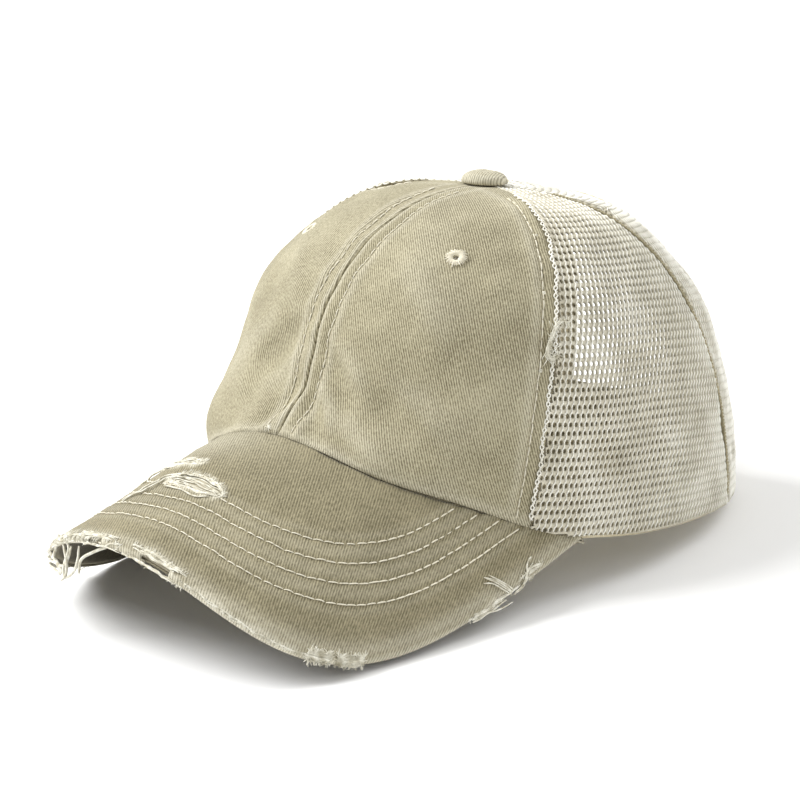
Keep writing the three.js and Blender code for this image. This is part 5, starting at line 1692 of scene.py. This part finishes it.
def rip_threads(rip, count, radius, seed, rings=40):
    """Bare threads that still bridge a rip from tip to tip, side by side."""
    draw = np.random.default_rng(seed)
    x0, y0, length, width, slant = RIPS[rip]
    c, s = math.cos(math.radians(slant)), math.sin(math.radians(slant))
    places = []
    for k in range(count):
        low, high = draw.uniform(-1.0, -0.8), draw.uniform(0.82, 1.0)
        share = np.linspace(low, high, rings)
        across = (k + 0.5) / count * 2 - 1 + draw.normal(0, 0.08)
        along = share * length
        aside = across * width * np.sqrt(1 - 0.94 * share**2) + 0.18 * ripple(along, 0 * along, 9, seed + k)
        sag = -0.15 - 0.4 * (1 - share**2)
        height = sag + draw.uniform(0, 0.5) + 0.12 * ripple(along, 0 * along, 6, seed - k)
        places.append(np.stack([x0 + along * c - aside * s, y0 + along * s + aside * c, height], -1))
    return over_peak(places, radius * draw.uniform(0.6, 1.25, count))


def loose(runs, radius, rings=26):
    """Loose strands over the peak through given flat places and heights."""
    return over_peak([smooth_run(run, rings) for run in runs], np.full(len(runs), radius))


DOWN = np.array([0, math.sin(REST_TURN), -math.cos(REST_TURN)])
PEAK_UP = (0.7, -0.7, 0.1)


def hung(runs, radius, rings=40):
    """Strands that hang from the peak's edge, through turns round it, insets and drops."""
    paths = []
    for run in runs:
        turn, inset, drop = np.moveaxis(smooth_run(run, rings), -1, 0)
        flat, y = peak_edge(turn, inset)
        paths.append(on_peak(flat, y, -0.2) + DOWN * drop[:, None])
    return paths, np.broadcast_to(PEAK_UP, np.shape(paths)), tapered(len(paths), radius, rings)


def along_edge(rows):
    """Threads for rows of: what is made, start and end of the edge, inset, side and the rest."""
    return [make(edge_rim(start, end, inset), way, *rest) for make, start, end, inset, way, *rest in rows]


# The upper rip has two closed bands of cream threads with a dark slit between; the lower one is
# wider, its lower half full of threads, with a ragged fringe above.
# Rows: what is made, rip, side, number, spread or reach, radius and seed
RIP_FRAYS = (
    (rim_cords, 0, 1, 5, 0.4, 0.3, 201),
    (rim_cords, 0, -1, 6, 0.45, 0.3, 202),
    (fringe, 0, 1, 90, 1.4, 0.15, 203),
    (fringe, 0, -1, 50, 0.9, 0.14, 204),
    (rim_cords, 1, 1, 4, 0.4, 0.28, 211),
    (rim_cords, 1, -1, 4, 0.35, 0.28, 212),
    (fringe, 1, 1, 150, 1.8, 0.16, 213),
    (fringe, 1, -1, 80, 1.2, 0.15, 214),
)
threads = [make(rip_rim(rip, way), way, *rest) for make, rip, way, *rest in RIP_FRAYS]
threads += [rip_threads(1, 6, 0.3, 215)]
threads += [loose([
    [(-8, -119.5, 0.3), (-19.5, -118.8, 0.6), (-20.5, -126.5, 1.3), (-24.5, -129, 0.8), (-28, -132.5, 0.4)],
    [(-10, -121, 0.3), (-18.5, -120.5, 0.5), (-19.0, -127.5, 1.0), (-24.0, -130.2, 0.7), (-27, -133.5, 0.3)],
    [(-15, -124.5, 0.3), (-12.5, -126.8, 0.6), (-5, -127.6, 0.4), (4, -129.2, 0.4), (9, -127.5, 0.3)],
    [(-38, -108, 0.3), (-42, -108.5, 0.6), (-46, -110.5, 0.4), (-48, -113, 0.3), (-49, -114, 0.3)],
], 0.34)]
# Worn-through front edge, from the wearer's right to the slot just left of the middle
FRONT_FRAYS = (
    (rim_cords, -0.68, -0.14, 1.0, 1, 8, 0.8, 0.36, 221),
    (rim_cords, -0.2, 0.02, 2.6, 1, 6, 0.5, 0.36, 222),
    (rim_cords, -0.16, 0.03, -0.9, -1, 3, 0.3, 0.26, 223),
    (fringe, -0.7, 0.02, 1.4, -1, 260, 2.2, 0.17, 224),
    (fringe, -0.66, 0.0, 2.4, 1, 140, 1.8, 0.16, 225),
    (rim_cords, 0.03, 0.205, 2.7, 1, 8, 0.6, 0.36, 226),
    (rim_cords, 0.02, 0.21, -0.8, -1, 5, 0.35, 0.32, 227),
    (fringe, 0.03, 0.21, 2.6, 1, 110, 1.7, 0.17, 228),
    (fringe, 0.02, 0.22, -0.6, -1, 70, 1.2, 0.15, 229),
    (fringe, 0.2, 0.8, 0.5, -1, 260, 0.8, 0.11, 230),
    (rim_cords, 0.2, 0.8, 0.6, 1, 2, 0.3, 0.16, 231),
)
threads += along_edge(FRONT_FRAYS)
threads += [hung([
    [(-0.26, 0.6, -0.4), (-0.24, -0.2, 2.5), (-0.29, -0.6, 8.0), (-0.27, -0.6, 11.3)]
    + [(-0.2, -0.4, 9.0), (-0.165, 0.2, 2.0)],
    [(0.01, 1.0, -0.4), (-0.03, -0.2, 0.6), (-0.08, -0.4, 2.6), (-0.15, -0.6, 5.6), (-0.17, -0.6, 10.2)],
    [(-0.34, 0.6, -0.4), (-0.4, -0.4, 2.0), (-0.36, -0.6, 5.5), (-0.28, -0.5, 7.0), (-0.22, 0.2, 2.0)],
    [(-0.5, 0.4, -0.3), (-0.44, -0.6, 1.5), (-0.36, -0.8, 5.0), (-0.3, -0.8, 9.5)]
    + [(-0.34, -0.6, 6.0), (-0.46, 0, 1.0)],
    [(-0.3, 0.6, -0.4), (-0.27, -0.4, 2.0), (-0.25, -0.8, 6.0), (-0.27, -0.8, 10.5), (-0.33, -0.6, 12.0)],
    [(-0.9, 0.2, 0.0), (-0.75, -0.6, 0.6), (-0.6, -0.7, 1.5), (-0.45, -0.7, 3.5), (-0.33, -0.6, 6.5)],
    [(-0.85, 0.0, 0.3), (-0.7, -0.8, 1.2), (-0.55, -0.9, 2.8), (-0.4, -0.9, 6.5), (-0.32, -0.8, 9.8)],
], 0.5)]
# From the wearer's right: the far end of the worn front edge, then on the left two tufts with small
# curled threads, and at the corner a twisted cord along the edge, a thinner one below it and more.
SIDE_FRAYS = (
    (rim_cords, -1.0, -0.55, 0.2, 1, 6, 0.5, 0.36, 232),
    (fringe, -1.0, -0.55, 0.3, -1, 120, 1.8, 0.16, 233),
    (rim_cords, 0.785, 0.9, 0.8, 1, 8, 0.8, 0.3, 241),
    (fringe, 0.785, 0.9, 0.6, -1, 110, 2.2, 0.16, 242),
    (fringe, 0.785, 0.9, 1.2, 1, 110, 1.9, 0.16, 243),
    (rim_cords, 0.925, 1.045, 0.8, 1, 8, 0.8, 0.3, 244),
    (fringe, 0.925, 1.045, 0.6, -1, 110, 2.2, 0.16, 245),
    (fringe, 0.925, 1.045, 1.2, 1, 110, 1.9, 0.16, 246),
    (rim_cords, 1.462, 1.575, 0.0, 1, 6, 0.35, 0.42, 251),
    (fringe, 1.46, 1.6, 0.4, -1, 90, 1.3, 0.14, 252),
    (rim_cords, 1.575, 1.625, 1.6, 1, 4, 0.5, 0.3, 253),
    (fringe, 1.57, 1.62, 1.6, 1, 50, 1.7, 0.14, 254),
)
threads += along_edge(SIDE_FRAYS)
threads += [loose([
    [(99.5, -74, 0.0), (101.5, -70, 0.2), (102.5, -66, 0.0), (103, -61, -0.2)],
    [(100.2, -61, 0.5), (97, -64, 1.4), (93.5, -66.5, 1.0), (91.2, -68.8, 0.5)],
    [(100.0, -61.5, 0.6), (97, -64.5, 1.0), (93.8, -67, 1.2), (90.6, -69.6, 0.5)],
    [(99.8, -60.5, 0.7), (96.5, -63.6, 1.2), (93.2, -66.0, 1.0), (90.8, -67.6, 0.5)],
    [(100.8, -59.5, 0.4), (100.2, -56.5, 1.1), (97.8, -54.2, 1.3), (96.6, -51.4, 0.6)],
    [(101.2, -60.0, 0.2), (100.8, -56.0, 0.7), (98.4, -53.4, 0.9), (97.0, -52.0, 0.6)],
    [(100.4, -61.5, 0.4), (97.5, -65, 1.0), (94, -67.6, 0.7), (92.2, -70.5, 0.4)],
    [(100.8, -58.5, 0.4), (100.4, -55.5, 0.9), (97.4, -53.8, 1.0), (96.2, -50.5, 0.6)],
    [(97.4, -53.8, 0.7), (97.2, -51.0, 0.9), (97.6, -49.0, 0.7), (98.2, -46.8, 0.4)],
    [(97.4, -53.8, 0.7), (95.6, -53.0, 0.9), (94.6, -51.6, 0.7), (94.2, -50.2, 0.4)],
], 0.27)]
sew("peak_frayed_threads", threads, frayed_cotton)


def over_crown(runs, radius, rings=24):
    """Threads over the crown through angles and rises in degrees and heights."""
    places = np.stack([smooth_run(run, rings) for run in runs])
    angle, rise = np.radians(places[..., 0]), np.radians(places[..., 1])
    return wall(angle, rise, -places[..., 2]), crown_normal(angle, rise), tapered(len(runs), radius, rings)


# Worn loop of the left side seam: a fuzzy cream rim that laps over the twill
LOOP = (
    *((67.4, 38.4, 1.5), (66.0, 39.0, 1.4), (64.6, 38.2, 1.1), (63.4, 36.6, 0.9), (62.4, 34.8, 0.8)),
    *((61.6, 33.0, 0.8), (61.4, 31.6, 0.9), (62.4, 30.9, 1.1), (63.6, 31.3, 1.3), (64.4, 32.4, 1.4)),
)
LOOP_CORDS, LOOP_FIBRES = 6, 60
draw = np.random.default_rng(261)
loop = np.array(LOOP)
runs = [
    loop[draw.integers(0, 2) :][: 9 - draw.integers(0, 2)] + draw.normal(0, (0.16, 0.2, 0.15), 3)
    for _ in range(LOOP_CORDS)
]
threads = [over_crown(runs, 0.28, 36)]
spots = smooth_run(LOOP, LOOP_FIBRES) + draw.normal(0, (0.2, 0.25, 0.1), (LOOP_FIBRES, 3))
runs = [
    [spot, spot + draw.normal(0, (0.4, 0.5, 0.2)), spot + draw.normal(0, (0.8, 1.0, 0.2))]
    for spot in spots
]
threads += [over_crown(runs, 0.15, 6)]
# Small white knots where the side row was mended, and a star of thread at the foot of the
# centre seam
for angle, rise in ((64.2, 62.6), (62.0, 45.8), (59.5, 28.6)):
    t = np.linspace(0, 9, 10)
    knot = np.stack([angle + 0.22 * np.cos(t), rise + 0.22 * np.sin(t), 0.45 + 0.03 * t], -1)
    threads += [over_crown([knot], 0.3, 24)]
runs = []
for turn in (10, 50, 85, 130, 160):
    aside, up = 1.2 * math.cos(math.radians(turn)), 0.9 * math.sin(math.radians(turn))
    runs.append([(-3.0 - aside, 12.0 - up, 0.7), (-3.0, 12.0, 1.1), (-3.0 + aside, 12.0 + up, 0.7)])
threads += [over_crown(runs, 0.2, 8)]
# Rear seams: khaki overlock thread zigzags over the sunken seam between the two nets
khaki_thread, tree, shader = new_material("khaki_overlock_thread", 0.8, Sheen_Weight=0.1, Sheen_Roughness=0.4)
space = add_node(tree, "TexCoord", {})
ply = add_node(tree, "TexNoise", {"Vector": space.outputs["Object"], "Scale": 700.0, "Detail": 3.0})
dull = add_node(tree, "ValToRGB", {"Fac": ply.outputs["Fac"]})
dull.color_ramp.elements[0].color = linear("#857b5d")
dull.color_ramp.elements[1].color = linear("#c2b999")
tree.links.new(dull.outputs["Color"], shader.inputs["Base Color"])
# Threads of the overlock: reach to each side, start of the zigzag, radius and depth in the wall
OVERLOCK = ((0.0, 0, 0.5, 0.55), (0.75, 0, 0.26, 0.1), (0.75, math.pi, 0.26, 0.1))
OVERLOCK_LENGTH = 2.4
overlock = []
for side, sign in SIDES:
    rise = np.linspace(0.03, 1.42, 620)
    edge = sign * seam_angle(REAR_SEAM, rise)
    line = crown(edge, rise)
    run = length_along(line)
    for reach, start, radius, depth in OVERLOCK:
        out = reach * np.sin(run * 2 * math.pi / OVERLOCK_LENGTH + start)
        out = out + 0.15 * ripple(run, 0 * run, 12, 281)
        depths = np.full(len(run), depth) - 0.25 * np.abs(out)
        path = wall(edge + out / level_radius(edge, rise), rise, depths)
        overlock.append((path[None], crown_normal(edge, rise)[None], np.full((1, len(run)), radius)))
sew("rear_seam_overlock", overlock, khaki_thread)
# Cut edge of the net over the front panels: scalloped loops of its own yarn, lightened as painted highlight
# like the net's raised yarns
scallops = []
for side, sign in SIDES:
    rise = np.linspace(float(hem_rise(np.array(sign * SIDE_SEAM[0]))) + 0.02, 1.44, 480)
    edge = sign * seam_angle(SIDE_SEAM, rise)
    line = crown(edge, rise)
    run = length_along(line)
    for start, reach, height in ((0.0, 1.2, 0.45), (0.5, 0.7, 0.65)):
        out = NET_OVERLAP * 0.6 + reach * np.abs(np.sin((run / HOLE_ROW + start) * math.pi))
        out = out + 0.25 * ripple(run, 0 * run, 11, 271)
        path = wall(edge - sign * out / level_radius(edge, rise), rise, -height - 0.15 * np.sin(run * 2.2))
        scallops.append((path[None], crown_normal(edge, rise)[None], np.full((1, len(run)), 0.27)))
sew("side_seam_frayed_loops", threads, frayed_cotton)
sew("side_seam_net_loops", scallops, net_yarn, wear_and_painted_light=0.8)
